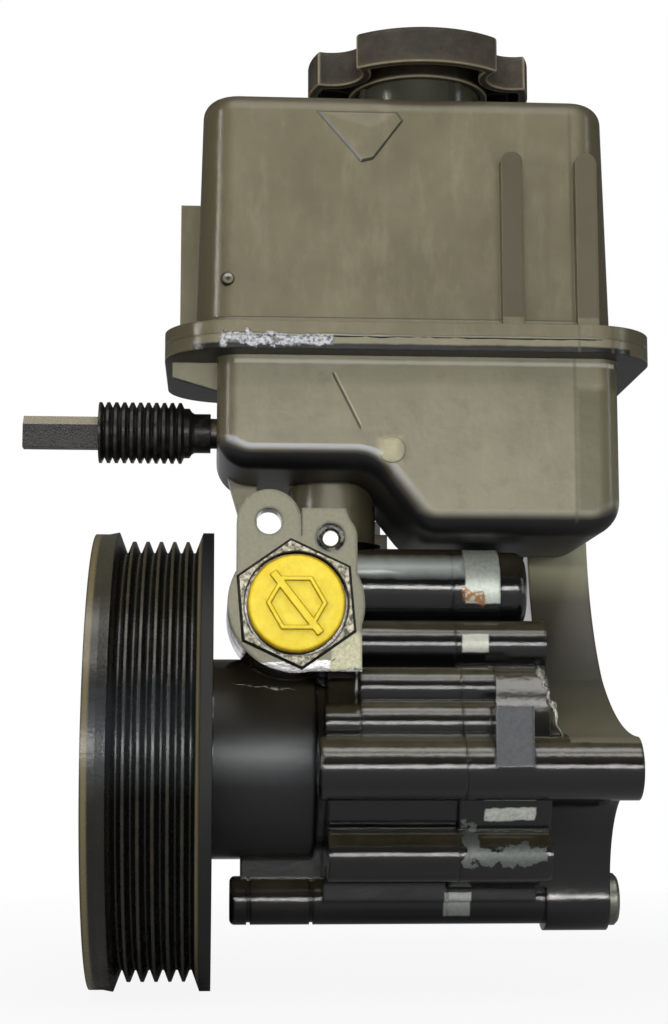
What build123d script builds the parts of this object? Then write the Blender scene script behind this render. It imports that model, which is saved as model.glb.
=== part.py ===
from build123d import *
import os

os.makedirs("parts", exist_ok=True)

# Belt-driven vane pump for power steering, with its oil reservoir on top.
# Millimetres. X is the shaft axis and points to the mounting flange, Y points away from the port,
# Z points up. The origin is on the shaft axis, in the machined rear face of the mounting flange.

# Clearances
RUN_GAP = 0.05
SEAT_GAP = 0.3
FIT_GAP = 0.1

# How far an added rib or tooth is sunk into what carries it
SINK = 2.0

# Belt pulley
BELT_PITCH = 3.56
GROOVE_COUNT = 6
RIDGE_R = 57.9
GROOVE_DEPTH = 3.0
GROOVE_FLOOR_W = 0.5
RIDGE_TIP_W = 0.7
RIM_FLANGE_R = 60.3
FRONT_LIP_R = 59.8
FIRST_GROOVE_X = -128.78
FRONT_LIP_W = 6.0
REAR_LIP_W = 2.9
RIM_WALL = 3.4
WEB_T = 5.0
WEB_SETBACK = 3.4
HUB_R = 14.0
HUB_FRONT_X = -129.5
HUB_L = 10.0
DISH_R = 26.0
DISH_SLOPE = 6.0
WEB_HOLES = 4
WEB_HOLE_R = 7.0
WEB_HOLE_ORBIT = 39.0

# Drive shaft, from the threaded front end to the rear pilot
THREAD_R = 6.0
THREAD_L = 7.6
THREAD_CHAMFER = 1.0
SEAT_R = 8.0
JOURNAL_R = 8.5
COLLAR_R = 10.5
COLLAR_L = 1.6
BUSH_R = 7.5
SEAL_RELIEF = 1.0
SPLINE_ROOT_R = 6.4
SPLINE_TOOTH_R = 7.3
SPLINE_TOOTH_W = 2.2
SPLINE_TEETH = 8
PILOT_R = 6.0
SHAFT_REAR_X = -31.0
PILOT_END_GAP = 1.0
KEY_W = 4.0
KEY_L = 7.0
NUT_FLATS = 19.0
NUT_FLANGE_R = 12.0
NUT_FLANGE_T = 2.0

# Front bearing, its circlip, the seal and the bush
NOSE_FRONT_X = -118.0
NOSE_R = 26.5
NOSE_EDGE_R = 1.2
BEARING_FRONT_X = -116.0
BEARING_W = 12.0
BEARING_R = 20.0
OUTER_RING_INNER_R = 16.7
INNER_RING_OUTER_R = 11.8
BALL_ORBIT = 14.25
BALL_R = 3.3
BALLS = 8
CAGE_T = 1.2
CAGE_W = 8.6
CIRCLIP_T = 1.5
CIRCLIP_DEPTH = 1.2
CIRCLIP_W = 3.0
CIRCLIP_GAP = 9.0
SEAL_R = 15.0
SEAL_W = 7.0
SEAL_FRONT_X = -101.6
SEAL_WALL = 1.5
BUSH_FRONT_X = -90.0
BUSH_L = 16.0
BUSH_WALL = 2.0

# Front housing
NECK_FRONT_X = -79.0
NECK_R = 24.0
BODY_FRONT_X = -76.5
BODY_R = 33.0
PARTING_X = -43.5
CHAMBER_FRONT_X = -70.0
CHAMBER_R = 27.5
WEB_ROOT = 3.0

# Vane cartridge in the chamber
FRONT_PLATE_T = 5.0
CAM_RING_T = 16.0
CAM_MINOR_R = 17.8
CAM_MAJOR_R = 20.4
ROTOR_R = 16.8
VANES = 10
VANE_T = 1.6
VANE_H = 6.5
SLOT_DEPTH = 7.0
DOWEL_R = 1.9
DOWEL_ORBIT = 24.2
PORT_SLOTS = 4
PORT_SLOT_R = 15.5
PORT_SLOT_W = 4.0
PORT_SLOT_ARC = 50.0

# Flow control valve above the chamber
VALVE_Y = -12.0
VALVE_Z = 44.3
VALVE_TUBE_R = 11.0
VALVE_TUBE_FRONT_X = -69.0
VALVE_BORE_R = 6.5
VALVE_BORE_FRONT_X = -60.0
VALVE_END_X = -31.0
VALVE_PLUG_HEAD_T = 7.5
VALVE_PLUG_HEAD_R = 10.3
VALVE_PLUG_EDGE_R = 3.0
VALVE_PLUG_STEM_L = 7.0
VALVE_PLUG_SOCKET_FLATS = 8.0
VALVE_PLUG_SOCKET_DEPTH = 5.0
VALVE_SEAL_R = 0.9
SPOOL_L = 11.0
SPOOL_STOP_L = 1.4
SPOOL_STOP_R = 4.0
SPOOL_WAIST_R = 4.6
SPOOL_WAIST_L = 3.0
SPOOL_POCKET_R = 5.2
SPOOL_POCKET_L = 3.5
SPRING_WIRE_R = 0.6
SPRING_COIL_R = 4.0
SPRING_TURNS = 4

# Pressure port, its bare casting face and its two ears
PORT_X = -85.4
PORT_Z = 37.4
PORT_FACE_Y = -47.0
PORT_BOSS_R = 17.0
PORT_BORE_R = 7.25
PORT_BORE_END_Y = -14.0
PORT_RECESS_R = 13.2
PORT_RECESS_DEPTH = 3.0
PORT_CORNER_X = -69.2
PORT_CORNER_Z = 20.8
PORT_CORNER_END_Y = -20.0
EAR_T = 8.0
EAR_HOLE_X = -92.2
EAR_HOLE_Z = 57.9
EAR_HOLE_R = 3.25
EAR_R = 8.0
LUG_X = -76.9
LUG_Z = 53.9
LUG_R = 6.6
LUG_HEAD_Z = 61.3
LUG_HEAD_L = 84.0
LUG_HEAD_R = 73.2
LUG_RECESS_R = 3.6
LUG_RECESS_DEPTH = 1.5
GALLERY_PLUG_R = 2.4
GALLERY_PLUG_L = 5.0
GALLERY_PLUG_EDGE_R = 0.7
PASSAGE_R = 3.0
PASSAGE_Y = -16.0
PASSAGE_Z = 43.0

# Port plug
PLUG_FLANGE_R = 12.2
PLUG_FLANGE_T = 5.4
PLUG_EDGE_R = 1.2
PLUG_STEM_L = 16.0
PLUG_STEM_WALL = 1.8
PLUG_RIB_FLATS = 13.0
PLUG_RIB_W = 1.0
PLUG_RIB_T = 0.7
PLUG_BAR_L = 19.0
PLUG_BAR_W = 1.9
PLUG_BAR_TILT = -52.0

# Long tubes along the body: near bolt tube, bottom bolt tube, oil galleries and ribs
NEAR_BOSS_Y = -42.0
NEAR_BOSS_Z = -2.8
NEAR_BOSS_R = 7.9
NEAR_TUBE_FRONT_X = -79.8
BOTTOM_BOSS_Y = 3.0
BOTTOM_BOSS_Z = -37.4
BOTTOM_TUBE_R = 6.4
BOTTOM_BOSS_R = 8.2
BOTTOM_TUBE_FRONT_X = -101.0
TUBE_EDGE_R = 1.4
TUBE_RING_XS = (-96.5, -79.8)
TUBE_RING_W = 1.0
TUBE_RING_DEPTH = 0.6
MOUNT_HOLE_R = 4.25
GALLERY_FRONT_X = -69.0
GALLERY_REAR_X = -35.0
UPPER_GALLERY_Y = -34.5
UPPER_GALLERY_Z = 17.2
UPPER_GALLERY_R = 5.4
MIDDLE_GALLERY_Y = -36.5
MIDDLE_GALLERY_Z = 8.2
MIDDLE_GALLERY_R = 6.2
STUB_FRONT_X = -77.8
STUB_R = 5.2
LOW_RIB_Y = -32.5
LOW_RIB_Z = -25.2
LOW_RIB_H = 4.6

# Housing bolts
BOLT_R = 3.0
BOLT_HEAD_R = 5.0
BOLT_HEAD_T = 6.0
BOLT_TUBE_R = 6.5
BOLT_SEAT_X = -27.0
BOLT_TIP_X = -71.5
BOLT_SOCKET_FLATS = 5.0
BOLT_SOCKET_DEPTH = 3.0
BOLT_SPOTS = ((-22.0, 29.0), (-27.0, -24.6), (28.0, 26.0), (29.0, -24.6))
COVER_SEAL_R = 1.1
COVER_SEAL_ORBIT = 30.0

# Rear cover with the mounting flange
COVER_R = 34.5
COVER_REAR_X = -20.0
COVER_PAD_X = -36.7
COVER_PAD_L = 9.5
COVER_PAD_LOW_Z = -3.0
COVER_PAD_HIGH_Z = 12.4
COVER_PAD_FACE_Y = -50.3
FLANGE_T = 17.0
FLANGE_WAIST = (0.0, 21.3)
FLANGE_NEAR_BEND = (-20.0, 9.9)
FLANGE_TOP_BEND = (13.5, 41.0)
FLANGE_FAR_BEND = (40.0, 10.0)
FLANGE_LOW_BEND = (-10.0, -19.0)
TOP_BOSS_Y = 28.0
TOP_BOSS_Z = 61.0
TOP_BOSS_R = 9.0
SLEEVE_R = 6.9
SLEEVE_IN = 9.0
SLEEVE_OUT = 3.0
SLEEVE_CHAMFER = 0.8
PILOT_BUSH_WALL = 1.5

# Reservoir shells
TANK_NEAR_Y = -39.0
TANK_FAR_Y = 19.0
TANK_WALL = 2.6
UPPER_LEFT_X = -111.1
UPPER_RIGHT_X = -2.2
UPPER_CORNER_R = 11.0
UPPER_DRAFT = 1.4
SEAM_Z = 105.5
TANK_TOP_Z = 172.4
TOP_EDGE_R = 5.0
RIM_LEFT_X = -119.0
RIM_RIGHT_X = 7.6
RIM_NEAR_Y = -46.0
RIM_FAR_Y = 26.0
RIM_CORNER_R = 18.0
RIM_T = 3.6
LOWER_LEFT_X = -105.4
LOWER_RIGHT_X = -1.5
LOWER_EDGE_R = 6.0
SHALLOW_Z = 73.0
STEP_LEFT_X = -66.0
STEP_RIGHT_X = -53.0
DEEP_Z = 56.4
STEP_R = 9.0
WALL_RIB_W = 5.6
WALL_RIB_T = 2.6
WALL_RIB_TOP_Z = 156.0
WALL_RIB_XS = (-29.6, -10.2)
FIN_X = -115.5
FIN_Y = -12.0
FIN_T = 3.0
FIN_TOP_Z = 149.0
GUSSET_X = -117.0
GUSSET_Z = 94.0
GUSSET_DROP = 4.0
GUSSET_NEAR_Y = -28.0
GUSSET_T = 3.0
TONGUE_INSET = 2.0
TONGUE_TOP_W = 9.0
TONGUE_TIP_Z = 62.0
TONGUE_TIP_W = 4.0
TONGUE_T = 8.0

# Filler neck and cap
CAP_X = -50.9
CAP_Y = -12.0
FILLER_R = 17.0
FILLER_WALL = 2.8
FILLER_H = 11.8
FILLER_RIBS = 4
FILLER_RIB_START = -60.0
FILLER_RIB_W = 2.0
FILLER_RIB_T = 1.6
CAP_R = 30.2
CAP_H = 9.7
CAP_OVERLAP = 4.4
CAP_WALL = 2.4
CAP_SCALLOP_R = 8.0
CAP_SCALLOP_X = 24.8
CAP_SCALLOP_Y = 18.7
CAP_SKIRT_WALL = 1.8
CAP_EDGE_R = 1.2
CAP_GASKET_T = 1.6
CAP_CROWN_R = 20.0
CAP_CROWN_T = 0.8

# Suction spigot between reservoir and housing, strainer, and fixing lugs
SUCTION_X = -74.0
SUCTION_Y = -2.0
SUCTION_BOSS_R = 13.4
SUCTION_BOSS_Z = 57.0
SUCTION_NECK_R = 11.8
SPIGOT_R = 9.4
SPIGOT_L = 11.0
SPIGOT_BORE_R = 5.6
SUCTION_COUNTERBORE = 12.5
SUCTION_PASSAGE_R = 6.5
SUCTION_PASSAGE_END_Z = 20.0
SUCTION_SEAL_R = 1.1
SUCTION_SEAL_DROP = 5.0
STRAINER_R = 13.0
STRAINER_H = 15.0
STRAINER_CAP_T = 2.0
STRAINER_MESH_T = 1.6
LUG_XS = (-64.0, -30.0)
LUG_Y = 27.0
LUG_POST_R = 6.5
LUG_PLATE_T = 6.0
LUG_POST_ROOT_Z = 12.0
LUG_BOLT_R = 2.9
LUG_BOLT_L = 20.0
LUG_BOLT_FLATS = 10.0
LUG_BOLT_HEAD_T = 4.0
LUG_WASHER_R = 6.2
LUG_WASHER_T = 1.2

# Return nipple and its ribbed transport cap
NIPPLE_Y = -15.0
NIPPLE_Z = 85.5
NIPPLE_R = 4.0
NIPPLE_BORE_R = 2.6
NIPPLE_END_X = -129.0
RETURN_CAP_REAR_X = -107.0
RETURN_CAP_FRONT_X = -136.4
RETURN_CAP_NECK_R = 5.2
RETURN_CAP_RIB_R = 8.1
RETURN_CAP_ROOT_R = 6.6
RETURN_CAP_LAST_ROOT_R = 5.6
RETURN_CAP_END_GAP = 1.0
RETURN_CAP_NECK_L = 4.2
RETURN_CAP_RIBS = 12
TAB_END_X = -156.4
TAB_H = 8.7
TAB_T = 4.4
TAB_BEVEL = 2.6


def across(x):
    """Plane across the shaft at x: its sketches are in (y, z) and extrude towards the flange."""
    return Plane.YZ.offset(x)


def upright(y):
    """Plane facing the port side at y: its sketches are in (x, z) and extrude towards -Y."""
    return Plane.XZ.offset(-y)


def level(z):
    """Level plane at z: its sketches are in (x, y) and extrude upwards."""
    return Plane.XY.offset(z)


def rim_edge(builder, x):
    """The edge whose middle lies nearest to x along the shaft."""
    return builder.edges().sort_by(lambda edge: abs(edge.center().X - x))[0]


def save(builder, name):
    """Label one finished piece and write its file."""
    builder.part.label = name
    export_step(builder.part, f"parts/{name}.step")


# Places worked out from the sizes above
LAST_GROOVE_X = FIRST_GROOVE_X + (GROOVE_COUNT - 1) * BELT_PITCH
RIM_FRONT_X = FIRST_GROOVE_X - BELT_PITCH / 2 - FRONT_LIP_W - GROOVE_FLOOR_W
RIM_REAR_X = LAST_GROOVE_X + BELT_PITCH / 2 + REAR_LIP_W + GROOVE_FLOOR_W
GROOVE_FLOOR_R = RIDGE_R - GROOVE_DEPTH
RIM_INNER_R = GROOVE_FLOOR_R - RIM_WALL
WEB_FRONT_X = RIM_FRONT_X + WEB_SETBACK
HUB_REAR_X = HUB_FRONT_X + HUB_L
SHAFT_FRONT_X = HUB_FRONT_X - THREAD_L
BEARING_REAR_X = BEARING_FRONT_X + BEARING_W
COLLAR_REAR_X = BEARING_REAR_X + COLLAR_L
SEAL_REAR_X = SEAL_FRONT_X + SEAL_W
BUSH_REAR_X = BUSH_FRONT_X + BUSH_L
CAM_FRONT_X = CHAMBER_FRONT_X + FRONT_PLATE_T
CAM_REAR_X = CAM_FRONT_X + CAM_RING_T
REAR_PLATE_T = PARTING_X - CAM_REAR_X
CARTRIDGE_R = CHAMBER_R - FIT_GAP
ROTOR_L = CAM_RING_T - 2 * RUN_GAP
ROTOR_FRONT_X = CAM_FRONT_X + RUN_GAP
BUSH_BORE_R = BUSH_R + RUN_GAP
BUSH_OUTER_R = BUSH_BORE_R + BUSH_WALL
FLANGE_FRONT_X = -FLANGE_T
FILLER_TOP_Z = TANK_TOP_Z + FILLER_H
CAP_LOW_Z = FILLER_TOP_Z - CAP_OVERLAP
CAP_TOP_Z = CAP_LOW_Z + CAP_H

# Pulley: lipped rim with V grooves, dished web and bored hub, turned in one piece
with BuildPart() as pulley:
    with BuildSketch(Plane.XY) as pulley_section:
        with BuildLine():
            rim_points = [(RIM_FRONT_X, RIM_INNER_R), (RIM_FRONT_X, FRONT_LIP_R)]
            lip_x = FIRST_GROOVE_X - BELT_PITCH / 2
            rim_points += [(lip_x - FRONT_LIP_W / 2, FRONT_LIP_R), (lip_x - GROOVE_FLOOR_W, RIM_FLANGE_R)]
            for groove in range(GROOVE_COUNT):
                centre_x = FIRST_GROOVE_X + groove * BELT_PITCH
                floor_half = GROOVE_FLOOR_W / 2
                mouth_half = (BELT_PITCH - RIDGE_TIP_W) / 2
                first_side = RIM_FLANGE_R if groove == 0 else RIDGE_R
                last_side = RIM_FLANGE_R if groove == GROOVE_COUNT - 1 else RIDGE_R
                if groove > 0:
                    rim_points.append((centre_x - mouth_half, first_side))
                rim_points.append((centre_x - floor_half, GROOVE_FLOOR_R))
                rim_points.append((centre_x + floor_half, GROOVE_FLOOR_R))
                if groove < GROOVE_COUNT - 1:
                    rim_points.append((centre_x + mouth_half, last_side))
            rim_points.append((LAST_GROOVE_X + BELT_PITCH / 2 + GROOVE_FLOOR_W, RIM_FLANGE_R))
            rim_points.append((RIM_REAR_X, RIM_FLANGE_R))
            rim_points.append((RIM_REAR_X, RIM_INNER_R))
            web_back_x = WEB_FRONT_X + WEB_T
            dish_x = HUB_FRONT_X + WEB_T
            rim_points.append((web_back_x, RIM_INNER_R))
            rim_points.append((web_back_x, DISH_R))
            rim_points.append((dish_x, DISH_R - DISH_SLOPE))
            rim_points.append((dish_x, HUB_R))
            rim_points.append((HUB_REAR_X, HUB_R))
            rim_points.append((HUB_REAR_X, SEAT_R + RUN_GAP))
            rim_points.append((HUB_FRONT_X, SEAT_R + RUN_GAP))
            rim_points.append((HUB_FRONT_X, DISH_R - DISH_SLOPE))
            rim_points.append((WEB_FRONT_X, DISH_R))
            rim_points.append((WEB_FRONT_X, RIM_INNER_R))
            Polyline(*rim_points, close=True)
        make_face()
    revolve(axis=Axis.X)
    with BuildSketch(across(WEB_FRONT_X)) as web_windows:
        with PolarLocations(WEB_HOLE_ORBIT, WEB_HOLES, start_angle=180 / WEB_HOLES):
            Circle(WEB_HOLE_R)
    extrude(amount=WEB_T, mode=Mode.SUBTRACT)
    with BuildSketch(across(HUB_FRONT_X)) as hub_keyway:
        with Locations((0, SEAT_R)):
            Rectangle(KEY_W + 2 * RUN_GAP, KEY_W)
    extrude(amount=HUB_L, mode=Mode.SUBTRACT)
save(pulley, "pulley")

# Drive shaft: stepped shaft with a thread end, key seat, bearing collar, splines and rear pilot
with BuildPart() as drive_shaft:
    with BuildSketch(Plane.XY) as shaft_section:
        with BuildLine():
            shaft_points = [(SHAFT_FRONT_X, 0), (SHAFT_FRONT_X, THREAD_R - THREAD_CHAMFER)]
            shaft_points += [(SHAFT_FRONT_X + THREAD_CHAMFER, THREAD_R)]
            shaft_points += [(HUB_FRONT_X, THREAD_R), (HUB_FRONT_X, SEAT_R)]
            shaft_points += [(HUB_REAR_X, SEAT_R), (HUB_REAR_X, JOURNAL_R)]
            shaft_points += [(BEARING_REAR_X, JOURNAL_R), (BEARING_REAR_X, COLLAR_R)]
            shaft_points += [(COLLAR_REAR_X, COLLAR_R), (COLLAR_REAR_X, JOURNAL_R)]
            shaft_points += [(SEAL_REAR_X + SEAL_RELIEF, JOURNAL_R), (SEAL_REAR_X + SEAL_RELIEF, BUSH_R)]
            shaft_points += [(CHAMBER_FRONT_X, BUSH_R), (CHAMBER_FRONT_X, SPLINE_ROOT_R)]
            shaft_points += [(CAM_REAR_X, SPLINE_ROOT_R), (CAM_REAR_X, PILOT_R)]
            shaft_points += [(SHAFT_REAR_X, PILOT_R), (SHAFT_REAR_X, 0)]
            Polyline(*shaft_points, close=True)
        make_face()
    revolve(axis=Axis.X)
    with BuildSketch(across(CAM_FRONT_X)) as spline_teeth:
        with PolarLocations((SPLINE_ROOT_R + SPLINE_TOOTH_R - SINK) / 2, SPLINE_TEETH):
            Rectangle(SPLINE_TOOTH_R - SPLINE_ROOT_R + SINK, SPLINE_TOOTH_W)
    extrude(amount=CAM_RING_T)
    with BuildSketch(across(HUB_FRONT_X + (HUB_L - KEY_L) / 2)) as key_seat:
        with Locations((0, SEAT_R)):
            Rectangle(KEY_W, KEY_W)
    extrude(amount=KEY_L, mode=Mode.SUBTRACT)
save(drive_shaft, "drive_shaft")

# Key between the pulley hub and the shaft
with BuildPart() as pulley_key:
    with BuildSketch(across(HUB_FRONT_X + (HUB_L - KEY_L) / 2)) as key_section:
        with Locations((0, SEAT_R - RUN_GAP / 2)):
            Rectangle(KEY_W, KEY_W - RUN_GAP)
    extrude(amount=KEY_L)
save(pulley_key, "pulley_key")

# Flanged hexagon nut that clamps the pulley hub
with BuildPart() as pulley_nut:
    with BuildSketch(across(SHAFT_FRONT_X)) as nut_hexagon:
        RegularPolygon(NUT_FLATS / 2, 6, major_radius=False)
        Circle(THREAD_R, mode=Mode.SUBTRACT)
    extrude(amount=THREAD_L)
    with BuildSketch(across(HUB_FRONT_X - NUT_FLANGE_T)) as nut_flange:
        Circle(NUT_FLANGE_R)
        Circle(THREAD_R, mode=Mode.SUBTRACT)
    extrude(amount=NUT_FLANGE_T)
save(pulley_nut, "pulley_nut")


def race_ring(inner_r, outer_r):
    """Bearing ring section between two radii, with the ball track cut into it."""
    middle_x = BEARING_FRONT_X + BEARING_W / 2
    with BuildPart() as ring:
        with BuildSketch(Plane.XY):
            with Locations((middle_x, (inner_r + outer_r) / 2)):
                Rectangle(BEARING_W, outer_r - inner_r)
            with Locations((middle_x, BALL_ORBIT)):
                Circle(BALL_R + RUN_GAP, mode=Mode.SUBTRACT)
        revolve(axis=Axis.X)
    return ring


# Front ball bearing: two rings, the balls and their cage
bearing_outer_ring = race_ring(OUTER_RING_INNER_R, BEARING_R)
save(bearing_outer_ring, "bearing_outer_ring")
bearing_inner_ring = race_ring(JOURNAL_R, INNER_RING_OUTER_R)
save(bearing_inner_ring, "bearing_inner_ring")

BALL_PLANE = across(BEARING_FRONT_X + BEARING_W / 2)
with BuildPart(BALL_PLANE) as bearing_balls:
    with PolarLocations(BALL_ORBIT, BALLS):
        Sphere(BALL_R)
save(bearing_balls, "bearing_balls")

with BuildPart() as bearing_cage:
    with BuildSketch(across(BEARING_FRONT_X + (BEARING_W - CAGE_W) / 2)) as cage_ring:
        Circle(BALL_ORBIT + CAGE_T)
        Circle(BALL_ORBIT - CAGE_T, mode=Mode.SUBTRACT)
    extrude(amount=CAGE_W)
    with Locations(BALL_PLANE):
        with PolarLocations(BALL_ORBIT, BALLS):
            Cylinder(BALL_R + RUN_GAP, 4 * CAGE_T, rotation=(0, 90, 0), mode=Mode.SUBTRACT)
save(bearing_cage, "bearing_cage")

# Circlip in front of the bearing
CIRCLIP_R = BEARING_R + CIRCLIP_DEPTH
with BuildPart() as bearing_circlip:
    with BuildSketch(across(BEARING_FRONT_X - CIRCLIP_T)) as circlip_ring:
        Circle(CIRCLIP_R)
        Circle(CIRCLIP_R - CIRCLIP_W, mode=Mode.SUBTRACT)
        with Locations((0, -CIRCLIP_R + CIRCLIP_W / 2)):
            Rectangle(CIRCLIP_GAP, 2 * CIRCLIP_W, mode=Mode.SUBTRACT)
    extrude(amount=CIRCLIP_T)
save(bearing_circlip, "bearing_circlip")

# Shaft seal: steel-backed case with an inward lip
with BuildPart() as shaft_seal:
    with BuildSketch(Plane.XY) as seal_section:
        with BuildLine():
            lip_r = JOURNAL_R + RUN_GAP
            seal_points = [(SEAL_FRONT_X, SEAL_R), (SEAL_REAR_X, SEAL_R), (SEAL_REAR_X, SEAL_R - SEAL_WALL)]
            seal_points += [(SEAL_FRONT_X + SEAL_WALL, SEAL_R - SEAL_WALL)]
            seal_points += [(SEAL_FRONT_X + SEAL_WALL, lip_r + SEAL_WALL)]
            seal_points += [(SEAL_REAR_X - SEAL_WALL, lip_r + SEAL_WALL), (SEAL_REAR_X - SEAL_WALL, lip_r)]
            seal_points += [(SEAL_REAR_X - 2 * SEAL_WALL, lip_r), (SEAL_FRONT_X, lip_r + SEAL_WALL / 2)]
            Polyline(*seal_points, close=True)
        make_face()
    revolve(axis=Axis.X)
save(shaft_seal, "shaft_seal")

# Bronze bush behind the seal
with BuildPart() as shaft_bush:
    with BuildSketch(across(BUSH_FRONT_X)) as bush_ring:
        Circle(BUSH_OUTER_R)
        Circle(BUSH_BORE_R, mode=Mode.SUBTRACT)
    extrude(amount=BUSH_L)
save(shaft_bush, "shaft_bush")

# Front housing: nose, body, valve tube, port block with ears, bolt tubes and suction boss in one casting
with BuildPart() as front_housing:
    with BuildSketch(across(NOSE_FRONT_X)) as nose_disc:
        Circle(NOSE_R)
    extrude(amount=NECK_FRONT_X - NOSE_FRONT_X)
    fillet(front_housing.edges().filter_by(GeomType.CIRCLE), radius=NOSE_EDGE_R)
    with BuildSketch(across(NECK_FRONT_X)) as neck_disc:
        Circle(NECK_R)
    extrude(amount=BODY_FRONT_X - NECK_FRONT_X)
    with BuildSketch(across(BODY_FRONT_X)) as body_outline:
        Circle(BODY_R)
        for bolt_y, bolt_z in BOLT_SPOTS:
            with Locations((bolt_y, bolt_z)):
                Circle(BOLT_TUBE_R)
        with Locations((BOTTOM_BOSS_Y, BOTTOM_BOSS_Z / 2)):
            Rectangle(2 * BOTTOM_BOSS_R, -BOTTOM_BOSS_Z)
        with Locations((NEAR_BOSS_Y / 2, NEAR_BOSS_Z)):
            Rectangle(-NEAR_BOSS_Y, 2 * WEB_ROOT)
        with Locations((LOW_RIB_Y / 2, LOW_RIB_Z)):
            Rectangle(-LOW_RIB_Y, LOW_RIB_H)
    extrude(amount=PARTING_X - BODY_FRONT_X)
    with BuildSketch(across(BOTTOM_TUBE_FRONT_X)) as bottom_tube:
        with Locations((BOTTOM_BOSS_Y, BOTTOM_BOSS_Z)):
            Circle(BOTTOM_TUBE_R)
    extrude(amount=PARTING_X - BOTTOM_TUBE_FRONT_X)
    fillet(rim_edge(front_housing, BOTTOM_TUBE_FRONT_X), radius=TUBE_EDGE_R)
    for ring_x in TUBE_RING_XS:
        with BuildSketch(across(ring_x)) as tube_ring:
            with Locations((BOTTOM_BOSS_Y, BOTTOM_BOSS_Z)):
                Circle(BOTTOM_TUBE_R)
                Circle(BOTTOM_TUBE_R - TUBE_RING_DEPTH, mode=Mode.SUBTRACT)
        extrude(amount=TUBE_RING_W, mode=Mode.SUBTRACT)
    with BuildSketch(across(BOTTOM_TUBE_FRONT_X + 2 * TUBE_EDGE_R)) as bottom_tube_web:
        with Locations((BOTTOM_BOSS_Y, -NOSE_R)):
            Rectangle(2 * WEB_ROOT, BOTTOM_TUBE_R * 2)
    extrude(amount=BODY_FRONT_X - BOTTOM_TUBE_FRONT_X - 2 * TUBE_EDGE_R)
    with BuildSketch(across(NEAR_TUBE_FRONT_X)) as near_tube:
        with Locations((NEAR_BOSS_Y, NEAR_BOSS_Z)):
            Circle(NEAR_BOSS_R)
    extrude(amount=PARTING_X - NEAR_TUBE_FRONT_X)
    fillet(rim_edge(front_housing, NEAR_TUBE_FRONT_X), radius=TUBE_EDGE_R)
    with BuildSketch(across(GALLERY_FRONT_X)) as gallery_tubes:
        with Locations((UPPER_GALLERY_Y, UPPER_GALLERY_Z)):
            Circle(UPPER_GALLERY_R)
        with Locations((MIDDLE_GALLERY_Y, MIDDLE_GALLERY_Z)):
            Circle(MIDDLE_GALLERY_R)
        with Locations((MIDDLE_GALLERY_Y / 2, MIDDLE_GALLERY_Z)):
            Rectangle(-MIDDLE_GALLERY_Y, MIDDLE_GALLERY_R)
    extrude(amount=PARTING_X - GALLERY_FRONT_X)
    with BuildSketch(across(STUB_FRONT_X)) as gallery_stub:
        with Locations((MIDDLE_GALLERY_Y, MIDDLE_GALLERY_Z)):
            Circle(STUB_R)
    extrude(amount=GALLERY_FRONT_X - STUB_FRONT_X)
    with BuildSketch(across(VALVE_TUBE_FRONT_X)) as valve_tube:
        with Locations((VALVE_Y, VALVE_Z)):
            Circle(VALVE_TUBE_R)
        with Locations((VALVE_Y, VALVE_Z / 2)):
            Rectangle(VALVE_TUBE_R, VALVE_Z)
    extrude(amount=PARTING_X - VALVE_TUBE_FRONT_X)
    with BuildSketch(upright(PORT_FACE_Y)) as port_block:
        with Locations((PORT_X, PORT_Z)):
            Circle(PORT_BOSS_R)
    extrude(amount=PORT_FACE_Y)
    with BuildSketch(upright(PORT_FACE_Y)) as port_corner:
        with BuildLine():
            corner_points = [(PORT_X, PORT_CORNER_Z), (PORT_CORNER_X, PORT_CORNER_Z)]
            corner_points += [(PORT_CORNER_X, PORT_Z), (PORT_X, PORT_Z)]
            Polyline(*corner_points, close=True)
        make_face()
    extrude(amount=PORT_CORNER_END_Y - PORT_FACE_Y, dir=(0, 1, 0))
    with BuildSketch(upright(PORT_FACE_Y)) as ears:
        with Locations((EAR_HOLE_X, EAR_HOLE_Z)):
            Circle(EAR_R)
        with Locations((EAR_HOLE_X, (EAR_HOLE_Z + PORT_Z) / 2)):
            Rectangle(2 * EAR_R, EAR_HOLE_Z - PORT_Z)
        with Locations((LUG_X, LUG_Z)):
            Circle(LUG_R)
        with BuildLine():
            lug_points = [(-LUG_HEAD_L, LUG_HEAD_Z), (-LUG_HEAD_R, LUG_HEAD_Z), (LUG_X + LUG_R, LUG_Z)]
            lug_points += [(LUG_X + LUG_R, PORT_Z), (-LUG_HEAD_L, PORT_Z)]
            Polyline(*lug_points, close=True)
        make_face()
    extrude(amount=EAR_T, dir=(0, 1, 0))
    with BuildSketch(level(SUCTION_BOSS_Z)) as suction_boss:
        with Locations((SUCTION_X, SUCTION_Y)):
            Circle(SUCTION_BOSS_R)
    extrude(amount=-SUCTION_BOSS_Z)
    with BuildSketch(level(DEEP_Z)) as front_post:
        with Locations((LUG_XS[0], LUG_Y)):
            Circle(LUG_POST_R)
    extrude(amount=LUG_POST_ROOT_Z - DEEP_Z)
    with BuildSketch(across(NOSE_FRONT_X)) as bearing_bore:
        Circle(BEARING_R)
    extrude(amount=BEARING_REAR_X - NOSE_FRONT_X, mode=Mode.SUBTRACT)
    with BuildSketch(across(BEARING_FRONT_X - CIRCLIP_T)) as circlip_groove:
        Circle(CIRCLIP_R)
    extrude(amount=CIRCLIP_T, mode=Mode.SUBTRACT)
    with BuildSketch(across(BEARING_REAR_X)) as seal_bore:
        Circle(SEAL_R)
    extrude(amount=SEAL_REAR_X - BEARING_REAR_X, mode=Mode.SUBTRACT)
    with BuildSketch(across(SEAL_REAR_X)) as shaft_passage:
        Circle(JOURNAL_R + SEAT_GAP)
    extrude(amount=BUSH_FRONT_X - SEAL_REAR_X, mode=Mode.SUBTRACT)
    with BuildSketch(across(BUSH_FRONT_X)) as bush_bore:
        Circle(BUSH_OUTER_R)
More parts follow.
